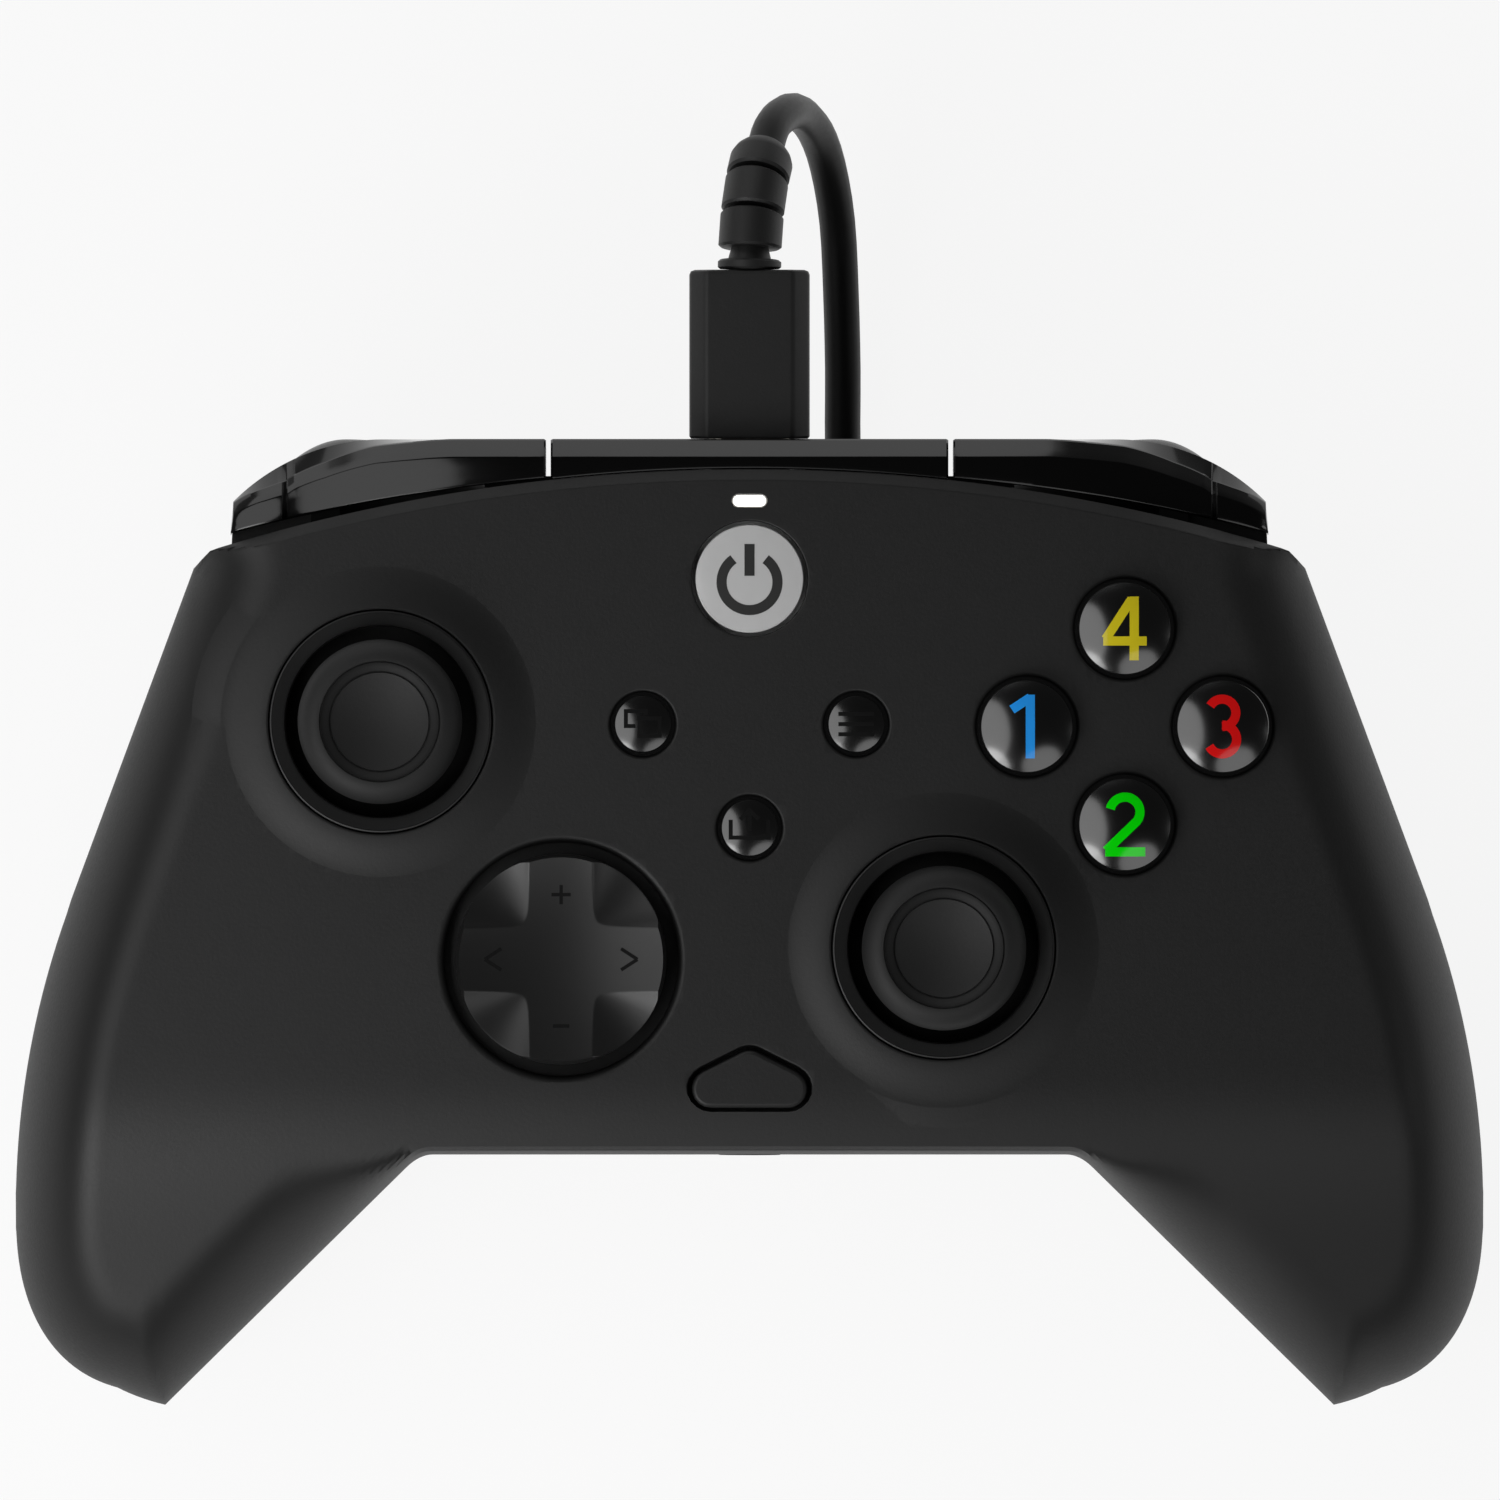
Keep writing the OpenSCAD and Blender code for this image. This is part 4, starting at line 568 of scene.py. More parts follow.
def hole(centre, radius, lip, steps=96):
    """A cutter for a round hole whose upper edge is rounded by lip."""
    edge = arc((radius + lip, FACE_Z - lip), lip, 180, 90, 6)
    section = [(0, CUT_LOW), (radius, CUT_LOW), *edge, (radius + lip, CUT_HIGH), (0, CUT_HIGH)]
    return spun("hole", section, centre, steps)


def collar(centre):
    """The soft raised collar round a stick; its foot dips just under the face, so the two blend."""
    inside, dip, root, steps = RING_OUT - 1, 0.03, FACE_Z - 1.5, 24
    slope = [(COLLAR_R + (RING_OUT - COLLAR_R) * k / steps, FACE_Z - dip + (COLLAR_RISE + dip) * float(eased(k / steps)))
             for k in range(steps + 1)]
    tail = [(COLLAR_R + 2.9, root), (COLLAR_R + 2.9, FACE_Z - 1), (COLLAR_R + 1.5, FACE_Z - 0.35)]
    return spun("collar", [(inside, root), *tail, *slope, (inside, slope[-1][1])], centre, 160)


def ring_seat(centre):
    """A cutter for the seat of a stick's ring, with a softened upper edge."""
    seat, top = RING_OUT + 0.1, FACE_Z + COLLAR_RISE
    return spun("ring_seat", [(0, CUT_LOW), (seat, CUT_LOW), (seat, top - 0.2), (seat + 0.06, top - 0.06),
                              (seat + 0.2, top + 0.01), (seat + 0.2, CUT_HIGH), (0, CUT_HIGH)], centre, 160)


def rounded_plan(centres, radius, steps=8):
    """The outline round circles at the corners of a convex plan, counter-clockwise."""
    turns = [math.degrees(math.atan2(a[0] - b[0], b[1] - a[1]))
             for a, b in zip(centres, [*centres[1:], centres[0]])]
    line = []
    for k, centre in enumerate(centres):
        line += arc(centre, radius, turns[k - 1], turns[k - 1] + (turns[k] - turns[k - 1]) % 360, steps)
    return line


def layered(name, layers):
    """A skin over plan outlines at their heights."""
    return lofted(name, [[(x, y, z) for x, y in plan] for z, plan in layers])


FUNCTION_CORNERS = [(-4.0, -17.0), (4.0, -17.0), (0.0, -15.0)]
FUNCTION_R = 2.0
print("cutters ready")

# %% both shells from one blank
SOCKET_Z, JACK_Z, JACK_R, BAY_Z = 39.0, 29.0, 3.35, 40.2
BAY = [(24.6, 38.9), (47.9, 38.9), (47.9, 70), (24.6, 70)]
ROOM = (22.9, 34.8, 22.9), (49.7, 52, 39.5)
FINGER_SLOT = (41.7, 36, 40.0), (46.3, 44.1, 42.6)
MID = housing_rings(coarse_stations, coarse_rows, WALL / 2)


def parted(piece, shift, upper):
    """Cuts away what lies above or below the slanted parting plane."""
    reach = 200
    tool = block("parting", (-reach, -reach, 0 if upper else -reach), (reach, reach, reach if upper else 0),
                 math.atan(PARTING_SLOPE))
    tool.data.transform(Matrix.Translation((0, 0, (PARTING_Z + shift) * MM)))
    return carve(piece, tool)


def post(piece, centre, radius, low, high):
    """Joins a round post to a shell, kept inside the middle of its wall."""
    column = rod("post", radius, low, high, centre, 40)
    carve(column, lofted("middle", MID), "INTERSECT")
    return carve(piece, column, "UNION")


def bored(centre, radius, length):
    """A round cutter along Y."""
    bpy.ops.object.select_all(action="DESELECT")
    bpy.ops.mesh.primitive_cylinder_add(vertices=64, radius=radius * MM, depth=length * MM)
    tool = named("bore")
    tool.data.transform(Matrix.Translation(Vector(centre) * MM) @ Matrix.Rotation(math.pi / 2, 4, "X"))
    return tool


def front_openings(piece):
    """The bays of the triggers and the openings for the socket and the jack, in both shells."""
    bay = rounded_plan(BAY, 2.0)
    for side in (-1, 1):
        carve(piece, on_side(layered("bay", [(-1, bay), (BAY_Z, bay)]), side))
        carve(piece, side_block("room", side, *ROOM))
        carve(piece, side_block("slot", side, *FINGER_SLOT))
    carve(piece, block("socket", (-5.9, 39.2, SOCKET_Z - 3), (5.9, 51.2, SOCKET_Z + 3)))
    return carve(piece, bored((0, -NOTCH_Y + 2, JACK_Z), JACK_R, 8))


front_shell = lofted("front_shell_skin", housing_rings(fine_stations, fine_rows, 0, edge_rows))
carve(front_shell, lofted("lining", housing_rings(coarse_stations, coarse_rows, WALL)))
rear_shell = front_shell.copy()
rear_shell.data = front_shell.data.copy()
rear_shell.name = rear_shell.data.name = "rear_shell_skin"
bpy.context.scene.collection.objects.link(rear_shell)
print("blank:", len(front_shell.data.polygons), "faces")

# %% front shell
for spot in STICK_SPOTS.values():
    post(front_shell, spot, COLLAR_R - 2.1, FACE_Z - 1.5 - WALL, FACE_Z - 1)
    carve(front_shell, collar(spot), "UNION")
parted(front_shell, SEAM / 2, False)
for spot in FACE_SPOTS.values():
    carve(front_shell, hole(spot, FACE_D / 2 + BUTTON_GAP, 0.45))
for spot in SMALL_SPOTS.values():
    carve(front_shell, hole(spot, SMALL_D / 2 + BUTTON_GAP, 0.35, 72))
carve(front_shell, hole(GUIDE_SPOT, GUIDE_D / 2 + BUTTON_GAP, 0.2))
carve(front_shell, hole(DPAD_SPOT, DPAD_D / 2 + 1.2, 0.8, 160))
for spot in STICK_SPOTS.values():
    carve(front_shell, ring_seat(spot))
LIP = 0.3
lip = [(FACE_Z - LIP + LIP * math.sin(a), LIP - LIP * math.cos(a)) for a in np.linspace(0, math.pi / 2, 5)]
carve(front_shell, layered("function_hole", [
    (z, rounded_plan(FUNCTION_CORNERS, FUNCTION_R + BUTTON_GAP + grow))
    for z, grow in ((CUT_LOW, 0), *lip, (CUT_HIGH, LIP))]))
light_plan = rounded_plan(LIGHT_ENDS, 0.7, 16)
carve(front_shell, layered("light_hole", [(CUT_LOW, light_plan), (CUT_HIGH, light_plan)]))
front_openings(front_shell)
# A ledge under the outer end of each bumper, so that the floor doesn't show through the gap there.
SHELF = [(44.9, 39.8), (47.72, 39.8), (47.72, 37.0), (53.3, 37.0), (53.75, 39.3), (53.6, 42.9),
         (51.5, 45.2), (49.8, 46.4), (47.72, 47.5), (47.72, 43.4), (44.9, 43.4)]
for side in (-1, 1):
    carve(front_shell, on_side(layered("shelf", [(39.3, SHELF), (40.2, SHELF)]), side), "UNION")
dressed(smoothed(front_shell), shell_abs, "housing", "matte_black_shell", "front_shell")
print("front shell:", len(front_shell.data.polygons), "faces")

# %% rear shell with its screw wells
WELL = [(0, -1), (3.5, -1), (3.1, 22), (1.45, 22), (1.45, 50), (0, 50)]
for spot in SCREW_SPOTS:
    post(rear_shell, spot, 4.6, 0.5, 44)
parted(rear_shell, -SEAM / 2, True)
for spot in SCREW_SPOTS:
    carve(rear_shell, spun("well", WELL, spot, 48))
front_openings(rear_shell)
dressed(smoothed(rear_shell), rear_abs, "housing", "matte_black_shell", "rear_shell")
print("rear shell:", len(rear_shell.data.polygons), "faces")

# %% [markdown]
# The bumpers and the bridge close the front. They come out of a polished mould, so their form reads
# only through reflections: a bevel along the front edge that catches the light from behind, a roof
# that falls towards the outer end, and a crease before the last five millimetres. Each is lofted
# from upright sections, which makes it easy to let the roof and the bevel change along the way.

# %% sections of a bumper
NOSE_Y, STRIP_LOW, STRIP_TOP = 50.3, 40.5, 46.5
BRIDGE_X, BUMPER_IN, BUMPER_END = 20.6, 21.1, 53.8
TURN_X, TURN_R = 38.0, 22.0
PIN_SPOT, PIN_R, PRESS = (22.9, 47.9), 1.05, math.radians(1.5)
BEVEL_W, BEVEL_H = 1.9, 1.15
END_AHEAD, CLEAR_AT_REST, CLEAR_PRESSED, LEAST_DEPTH = 1.3, 0.18, 0.24, 0.25
corner = TURN_X + TURN_R * math.sqrt(0.5)


def bumper_front(x):
    """Front edge of a bumper in plan."""
    turned = NOSE_Y - TURN_R + math.sqrt(TURN_R ** 2 - max(0, min(x, corner) - TURN_X) ** 2)
    end = float(front_edge(BUMPER_END)) + END_AHEAD
    return turned if x <= corner else turned + (end - turned) * (x - corner) / (BUMPER_END - corner)


def bumper_back(x):
    """Rear edge of a bumper in plan, clear of the shell at rest and when it's pressed."""
    rest = Vector((-PIN_SPOT[0], FRONT_Y - FRONT_R - PIN_SPOT[1]))
    rest.rotate(Matrix.Rotation(PRESS, 2))
    pressed = rest.y + PIN_SPOT[1] + math.sqrt((FRONT_R + CLEAR_PRESSED) ** 2 - (x - rest.x - PIN_SPOT[0]) ** 2)
    return min(max(float(front_edge(x)) + CLEAR_AT_REST, pressed), bumper_front(x) - LEAST_DEPTH)


def strip_section(x, back, front, top, low, bevel, lean=0.0, inset=0.0):
    """Points round one upright section, from the rear foot over the roof to the front foot."""
    drop, brow = BEVEL_H * bevel / BEVEL_W, front - lean
    line = [(back, low), (back, top - 0.3), (back + 0.09, top - 0.09), (back + 0.3, top)]
    line += [(back + (brow - bevel - back) * f, top) for f in (0.35, 0.65)]
    line += [(brow - bevel - 0.12, top), (brow - bevel + 0.12, top - 0.08),
             (brow - bevel / 2, top - drop / 2), (brow - 0.15, top - drop + 0.1),
             (brow, top - drop - 0.15), (front, low + 0.7), (front - 0.4, low)]
    middle = ((back + front) / 2, (top + low) / 2)
    return [(x, y + (middle[0] - y) * inset, z + (middle[1] - z) * inset) for y, z in line]


def pin_well(side, low, high):
    """A cutter for the round hole of a bumper's pin."""
    return rod("well", PIN_R, low, high, (side * PIN_SPOT[0], PIN_SPOT[1]), 32)


LEAN = ([31, 33, 36, 39, 42, 44, 47.2, 48, 50, 52, 53.5],
        [0, 0.1, 0.35, 0.65, 1.15, 1.45, 1.6, 1.8, 1.3, 0.6, 0.1])
roof_x = np.linspace(BUMPER_IN, BUMPER_END, 600)
fall = np.interp(roof_x, [21.1, 25, 35, 42, 47.1, 47.9, 48.0, 48.4, 48.5, 50, 53, 53.8],
                 [0, 0.02, 0.15, 0.27, 0.05, 0.02, -1.3, -1.3, 0.06, 0.14, 0.36, 0.7])
roof_z = STRIP_TOP - np.concatenate([[0], np.cumsum((fall[1:] + fall[:-1]) / 2 * np.diff(roof_x))])
print("roof falls", round(float(roof_z[0] - roof_z.min()), 2), "mm")

# %% both bumpers
FINGER = (42.5, float(front_edge(44)) - WALL, 40.5), (45.5, 46.5, 41.5)
for side, name in ((-1, "left"), (1, "right")):
    stops = np.concatenate([[BUMPER_IN, BUMPER_IN + 0.2], np.linspace(22, 47, 50), np.linspace(47.2, 49, 19),
                            np.linspace(49.3, corner, 16), np.linspace(corner + 0.05, BUMPER_END, 5)])
    rings = []
    for k, x in enumerate(stops):
        front, back = bumper_front(x), bumper_back(x)
        lean = min(float(np.interp(x, *LEAN)), 0.4 * (front - back))
        bevel = min(BEVEL_W * float(np.interp(x, [40, 53], [1, 0.7])), 0.5 * (front - back - lean))
        top = float(np.interp(x, roof_x, roof_z))
        ring = strip_section(x, back, front, top, STRIP_LOW, bevel, lean, 0.0 if k else 0.06)
        rings.append([(side * px, py, pz) for px, py, pz in ring])
    bumper = lofted(name + "_bumper_skin", rings)
    carve(bumper, side_block("finger", side, *FINGER), "UNION")
    carve(bumper, pin_well(side, 38, 45.3))
    dressed(smoothed(bumper, 26), polished_abs, name + "_bumper", "gloss_black", name + "_bumper")
print("bumpers:", len(bumper.data.polygons), "faces each")

# %% bridge
BRIDGE_LOW, LUG_LOW, LUG_TOP = 33.0, 38.6, 40.2
NECK = (19.6, 45.8, LUG_LOW), (PIN_SPOT[0], 46.5, LUG_TOP)
LUG = (BUMPER_IN, 45.3, LUG_LOW), (27.5, NOSE_Y - 0.9, LUG_TOP)
rings = []
for x in [-BRIDGE_X, *np.linspace(-BRIDGE_X + 0.2, BRIDGE_X - 0.2, 41), BRIDGE_X]:
    back, drawn_in = float(front_edge(abs(x))) + 0.02, 0.0 if abs(x) < BRIDGE_X else 0.05
    rings.append(strip_section(x, back, NOSE_Y, STRIP_TOP, BRIDGE_LOW, BEVEL_W, 0.0, drawn_in))
bridge = lofted("bridge_skin", rings)
for side in (-1, 1):
    carve(bridge, side_block("neck", side, *NECK), "UNION")
    carve(bridge, side_block("lug", side, *LUG), "UNION")
    carve(bridge, pin_well(side, 37, 42))
mouth = rounded_plan([(-2.9, SOCKET_Z), (2.9, SOCKET_Z)], 1.85, 16)
carve(bridge, lofted("mouth", [[(x, y, z) for x, z in mouth] for y in (40.0, 55.0)]))
dressed(smoothed(bridge, 26), polished_abs, "housing", "gloss_black", "bridge_cover")
print("bridge:", len(bridge.data.polygons), "faces")

# %% [markdown]
# A trigger is a curved shell round a cross pin. One side profile runs through all its sections: it
# is drawn back where the front falls away to either end, and shortened where the lower edge rises.
# The same sections, moved back by the wall, cut the hollow that the finger never sees.

# %% triggers
TRIGGER_IN, TRIGGER_OUT, TRIGGER_WALL, CREST_X = 25.0, 47.6, 1.8, 42.0
TRIGGER_PIN_Y, TRIGGER_PIN_Z, EAR_R, TRIGGER_BORE_R = 40.0, 33.5, 3.0, 1.4
CREST_AHEAD, DEEPEST = 10.4, 20.2
SIDE_PROFILE = smooth_line([
    (0, 3), (2.8, 4.0), (5.5, 4.3), (8.4, 3.6), (9.9, 1.6), (CREST_AHEAD, -0.8), (9.9, -4.5), (8.6, -9),
    (7.4, -12.5), (7, -15.5), (7.4, -18), (8.0, -19.5), (6.9, -20.1), (5.6, -19.0), (4.9, -17),
    (4.2, -13), (3.2, -7), (0, -3)], 5)
LOWER_EDGE = np.array([tuple(p) for p in smooth_line([
    (25, 4), (25.5, 8), (26.7, 12.5), (29.5, 17.2), (33, 19.9), (37.5, DEEPEST),
    (41.4, 19.8), (44.4, 17), (46.6, 12), (47.3, 8), (47.6, 4)], 6)])


def trigger_section(x, back=0.0, inset=0.0):
    """The side profile as it is at x, moved back for the hollow or drawn in for a rounded end."""
    away = 4.9 * ((CREST_X - x) / 17) ** 2 if x < CREST_X else 2.3 * ((x - CREST_X) / 5.6) ** 2
    share = float(np.interp(x, LOWER_EDGE[:, 0], LOWER_EDGE[:, 1])) / DEEPEST
    ring = []
    for y, z in SIDE_PROFILE:
        y, z = y - away * min(1, y / CREST_AHEAD), z if z > 0 else z * share
        y, z = y + (4 - y) * inset, z + (-4 * share - z) * inset
        ring.append((x, TRIGGER_PIN_Y + y - back, TRIGGER_PIN_Z + z - 0.6 * back * (share if back else 1)))
    return ring


def cross_pin(name, radius, low, high):
    """A round bar along X about the trigger's pin."""
    ring = arc((TRIGGER_PIN_Y, TRIGGER_PIN_Z), radius, 0, 360, 48)[:-1]
    return lofted(name, [[(x, y, z) for y, z in ring] for x in (low, high)])


inside = TRIGGER_IN + TRIGGER_WALL, TRIGGER_OUT - TRIGGER_WALL
rounding = ((0.0, 0.1), (0.12, 0.045), (0.3, 0.014), (0.55, 0.0))
stops = [(TRIGGER_IN + d, k) for d, k in rounding] + [(x, 0.0) for x in np.linspace(25.9, 46.7, 60)]
stops += [(TRIGGER_OUT - d, k) for d, k in rounding[::-1]]
for side, name in ((-1, "left"), (1, "right")):
    trigger = lofted(name + "_trigger_skin", [trigger_section(x, 0.0, k) for x, k in stops])
    carve(trigger, cross_pin("ears", EAR_R, TRIGGER_IN, TRIGGER_OUT), "UNION")
    carve(trigger, lofted("hollow", [trigger_section(x, TRIGGER_WALL) for x in np.linspace(*inside, 40)]))
    carve(trigger, cross_pin("room", EAR_R + 0.6, *inside))
    carve(trigger, cross_pin("bore", TRIGGER_BORE_R, TRIGGER_IN - 1, TRIGGER_OUT + 1))
    on_side(trigger, side)
    dressed(smoothed(trigger, 38), trigger_abs, name + "_trigger", "trigger_black", name + "_trigger")
print("triggers:", len(trigger.data.polygons), "faces each")

# %% [markdown]
# Every button is one spun piece: a plunger that presses its rubber dome, a flange that keeps it from
# falling out, and a cap with a spherical top. The caps are clear-coated black, so a soft box shows
# on them as a bright patch with a clean edge. The marks on the four big ones are plain numbers, set
# in as a second shot of coloured plastic that follows the dome. The small ones carry common signs
# in matte ink: two overlapping squares, three lines, and an arrow that leaves a tray.

# %% helpers for buttons and their marks
FLANGE_LOW, FLANGE_TOP, PLUNGER_R = 43.3, 44.5, 2.2


def dome(radius, top, sag, steps=16):
    """The spherical top of a button as (radius, height), from the rim to the middle."""
    ball = (radius ** 2 + sag ** 2) / (2 * sag)
    rim = math.asin((radius - 0.1) / ball)
    return [(ball * math.sin(rim * (1 - k / steps)), top - ball + ball * math.cos(rim * (1 - k / steps)))
            for k in range(steps + 1)]


def button(name, centre, diameter, top, sag, foot):
    """A button cap on its plunger."""
    r, flange = diameter / 2, diameter / 2 + 1.5
    section = [(0, foot), (PLUNGER_R, foot), (PLUNGER_R, FLANGE_LOW), (flange, FLANGE_LOW),
               (flange, FLANGE_TOP), (r, FLANGE_TOP), (r, top - sag - 0.2), (r - 0.03, top - sag - 0.06),
               *dome(r, top, sag)[:-1], (0, top)]
    return spun(name, section, centre, 96)


def cap_solid(centre, radius, top, sag, lift):
    """The solid under a dome that is lifted a little; marks are trimmed to it."""
    roof = [(r, z + lift) for r, z in dome(radius, top, sag)[:-1]]
    section = [(0, top - 4), (radius, top - 4), (radius, top - sag + lift - 0.05), *roof, (0, top + lift)]
    return spun("cap", section, centre, 96)


def ribbon(points, width):
    """The outline of a stroke of that width along a line of plan points."""
    points = [Vector(p) for p in points]
    left, right = [], []
    for k, point in enumerate(points):
        way = (points[min(k + 1, len(points) - 1)] - points[max(k - 1, 0)]).normalized()
        side = Vector((-way.y, way.x)) * width / 2
        left.append(tuple(point + side))
        right.append(tuple(point - side))
    return right + left[::-1]


def strokes(name, lines, width, centre, low, high):
    """A prism over several strokes, joined into one solid."""
    made = None
    for line in lines:
        plan = [(centre[0] + x, centre[1] + y) for x, y in ribbon(line, width)]
        part = layered(name, [(low, plan), (high, plan)])
        made = part if made is None else carve(made, part, "UNION")
    return made


print("button helpers ready")

# %% finishes of the buttons
# Clear-coated black: nearly a mirror, which is why the soft boxes show on it as patches.
button_lens = grained("clear_coated_pc_black", "#040404", "#050505", (0.15, 0.2), 6.0, 0.0, IOR=1.65,
                      Coat_Weight=1.0, Coat_Roughness=0.16, Coat_IOR=1.65)


def inked(name, colour, **shader):
    """A flat, even colour with hardly a cloud in it: a second shot of plastic, a paint or an ink."""
    material, tree, surface, place = finish(name, **{"Roughness": 0.12, "IOR": 1.55, **shader})
    cloud = add_node(tree, "ShaderNodeTexNoise", {"Vector": place, "Scale": per_mm(2.0), "Detail": 2.0})
    level = add_node(tree, "ShaderNodeMapRange", {"Value": cloud.outputs["Fac"], "To Min": 0.96, "To Max": 1.04})
    soft = add_node(tree, "ShaderNodeHueSaturation",
                    {"Color": linear(colour), "Value": level.outputs["Result"]})
    tree.links.new(soft.outputs["Color"], surface.inputs["Base Color"])
    return material


NUMBERS = {
    "left": ("1", "blue", "#2aa2ff", [[(-1.55, 1.75), (0.35, 3.0)], [(0.35, 3.3), (0.35, -3.3)]]),
    "bottom": ("2", "green", "#00ee00", [[*arc((0, 1.3), 1.55, 168, -38, 20), (-1.95, -2.7)],
                                         [(-2.05, -2.82), (2.1, -2.82)]]),
    "right": ("3", "red", "#e81414", [arc((-0.1, 1.42), 1.42, 150, -90, 22),
                                      arc((-0.1, -1.34), 1.5, 90, -152, 22)]),
    "top": ("4", "yellow", "#e2d022", [[(0.7, 3.05), (-2.0, -1.1)], [(-2.25, -1.3), (2.25, -1.3)],
                                       [(0.95, 3.3), (0.95, -3.3)]]),
}
FACE_TOP, FACE_SAG, FACE_FOOT, NUMBER_STROKE = 49.9, 1.0, 40.4, 0.95
for where, (digit, colour, tint, lines) in NUMBERS.items():
    spot = FACE_SPOTS[where]
    cap = button("button_" + where + "_cap", spot, FACE_D, FACE_TOP, FACE_SAG, FACE_FOOT)
    dressed(smoothed(cap), button_lens, "button_" + where, "gloss_black", "button_" + where)
    mark = strokes("number_" + digit, lines, NUMBER_STROKE, spot, FACE_TOP - 1.6, FACE_TOP + 1)
    carve(mark, cap_solid(spot, FACE_D / 2, FACE_TOP, FACE_SAG, 0.02), "INTERSECT")
    dressed(smoothed(mark), inked(colour + "_second_shot", tint), "button_" + where, colour + "_button")
print("face buttons:", len(NUMBERS))

# %% small buttons with dark marks
# Matte ink stays black, whatever the dome under it reflects.
mark_ink = inked("matte_black_ink", "#161616", Roughness=0.85, Specular_IOR_Level=0.08)
SMALL_TOP, SMALL_SAG, SMALL_FOOT, STROKE = 48.0, 0.5, 40.1, 0.42
SMALL_MARKS = {
    "view": [[(-1.75, -0.2), (-1.75, 1.35)], [(-1.96, 1.35), (0.3, 1.35)], [(-1.96, -0.2), (-0.75, -0.2)],
             [(0.3, 1.56), (0.3, 0.95)], [(-0.35, -1.2), (-0.35, 0.6)], [(1.75, -1.2), (1.75, 0.6)],
             [(-0.56, 0.6), (1.96, 0.6)], [(-0.56, -1.2), (1.96, -1.2)]],
    "menu": [[(-1.85, y), (1.85, y)] for y in (1.05, 0.0, -1.05)],
    "share": [[(-1.95, 0.85), (-1.95, -1.0)], [(1.95, 0.85), (1.95, -1.0)], [(-2.16, -1.0), (2.16, -1.0)],
              [(0, -0.3), (0, 1.7)], [(-0.95, 0.9), (0.1, 1.95)], [(0.95, 0.9), (-0.1, 1.95)]],
}
for which, lines in SMALL_MARKS.items():
    spot = SMALL_SPOTS[which]
    cap = button(which + "_button_cap", spot, SMALL_D, SMALL_TOP, SMALL_SAG, SMALL_FOOT)
    mark = strokes(which + "_mark", lines, STROKE, spot, SMALL_TOP - 1.2, SMALL_TOP + 1)
    carve(mark, cap_solid(spot, SMALL_D / 2, SMALL_TOP, SMALL_SAG, 0.015), "INTERSECT")
    dressed(smoothed(mark), mark_ink, which + "_button", "matte_black_shell")
    dressed(smoothed(cap), button_lens, which + "_button", "gloss_black", which + "_button")
print("small buttons:", len(SMALL_MARKS))

# %% [markdown]
# The round button at the front is a flat pale disc with a printed mark; here it is the common power
# sign, a broken ring with a stroke. The button at the player's edge is a rounded triangle in the
# same plastic as the shell, and a light pipe ends flush with the face above the disc.

# %% disc, triangle and light
GUIDE_TOP, GUIDE_SAG, GUIDE_FOOT = 47.5, 0.35, 40.1
# Paint gives the disc an even pale grey with a faint gloss; the sign on it is printed.
guide_paint = inked("pale_grey_paint", "#d0d0d0", Coat_Weight=0.2)
sign_ink = inked("dark_grey_ink", "#3c3c3c")
disc = button("guide_button_cap", GUIDE_SPOT, GUIDE_D, GUIDE_TOP, GUIDE_SAG, GUIDE_FOOT)
dressed(smoothed(disc), guide_paint, "guide_button", "guide_grey", "guide_button")
POWER_SIGN, POWER_STROKE = [arc((0, -0.35), 2.9, 125, 415, 40), [(0, 0.3), (0, 3.6)]], 1.05
sign = strokes("guide_button_sign", POWER_SIGN, POWER_STROKE, GUIDE_SPOT, 46, 49)
carve(sign, cap_solid(GUIDE_SPOT, GUIDE_D / 2, GUIDE_TOP, GUIDE_SAG, 0.02), "INTERSECT")
dressed(smoothed(sign), sign_ink, "guide_button", "matte_black_shell")

FUNCTION_TOP, FUNCTION_STEP, FUNCTION_LOW, FUNCTION_ROUND = 47.7, 43.3, 42.1, 0.5
rise = [(FUNCTION_TOP - FUNCTION_ROUND + FUNCTION_ROUND * math.sin(a), FUNCTION_ROUND * math.cos(a) - FUNCTION_ROUND)
        for a in np.linspace(0, math.pi / 2, 6)]
key = layered("function_button_cap", [
    (z, rounded_plan(FUNCTION_CORNERS, FUNCTION_R + grow))
    for z, grow in ((FUNCTION_LOW, 0.5), (FUNCTION_STEP, 0.5), (FUNCTION_STEP, 0), *rise)])
dressed(smoothed(key), shell_abs, "function_button", "matte_black_shell", "function_button")

# A light pipe of clear polycarbonate, lit from below, is plain white.
glow_pc, tree, surface, place = finish("lit_polycarbonate", Base_Color=linear("#ffffff"), Roughness=0.3,
                                       Emission_Color=linear("#fdfeff"), Emission_Strength=1.6)
pipe_plan = rounded_plan(LIGHT_ENDS, 0.55, 16)
pipe = layered("status_light", [(41.1, pipe_plan), (47.05, pipe_plan)])
dressed(smoothed(pipe), glow_pc, "housing", "light_white", "status_light_pipe")
print("disc, triangle and light made")

# %% [markdown]
# The direction pad is a round disc with a cross in it. The cross is hollow like a shallow bowl, so
# its left arm is dark and its right arm light when the lamp is on the left. Between the arms the
# disc falls away from both arm edges into a soft valley. That is a height map: a fine grid whose
# points are raised to their heights, then closed below and trimmed to a disc. The marks are strokes
# of ink that are trimmed to the same surface, a hundredth of a millimetre above it.

# %% height map of the direction pad
DPAD_R, ARM, SOFT = DPAD_D / 2, 3.25, 0.6
ARM_TIP_Z, DISH, SLOPE = 49.2, 1.5, 0.62
DPAD_LOW, DPAD_FLANGE_TOP, DPAD_FLANGE_R = 41.9, 43.1, 12.9


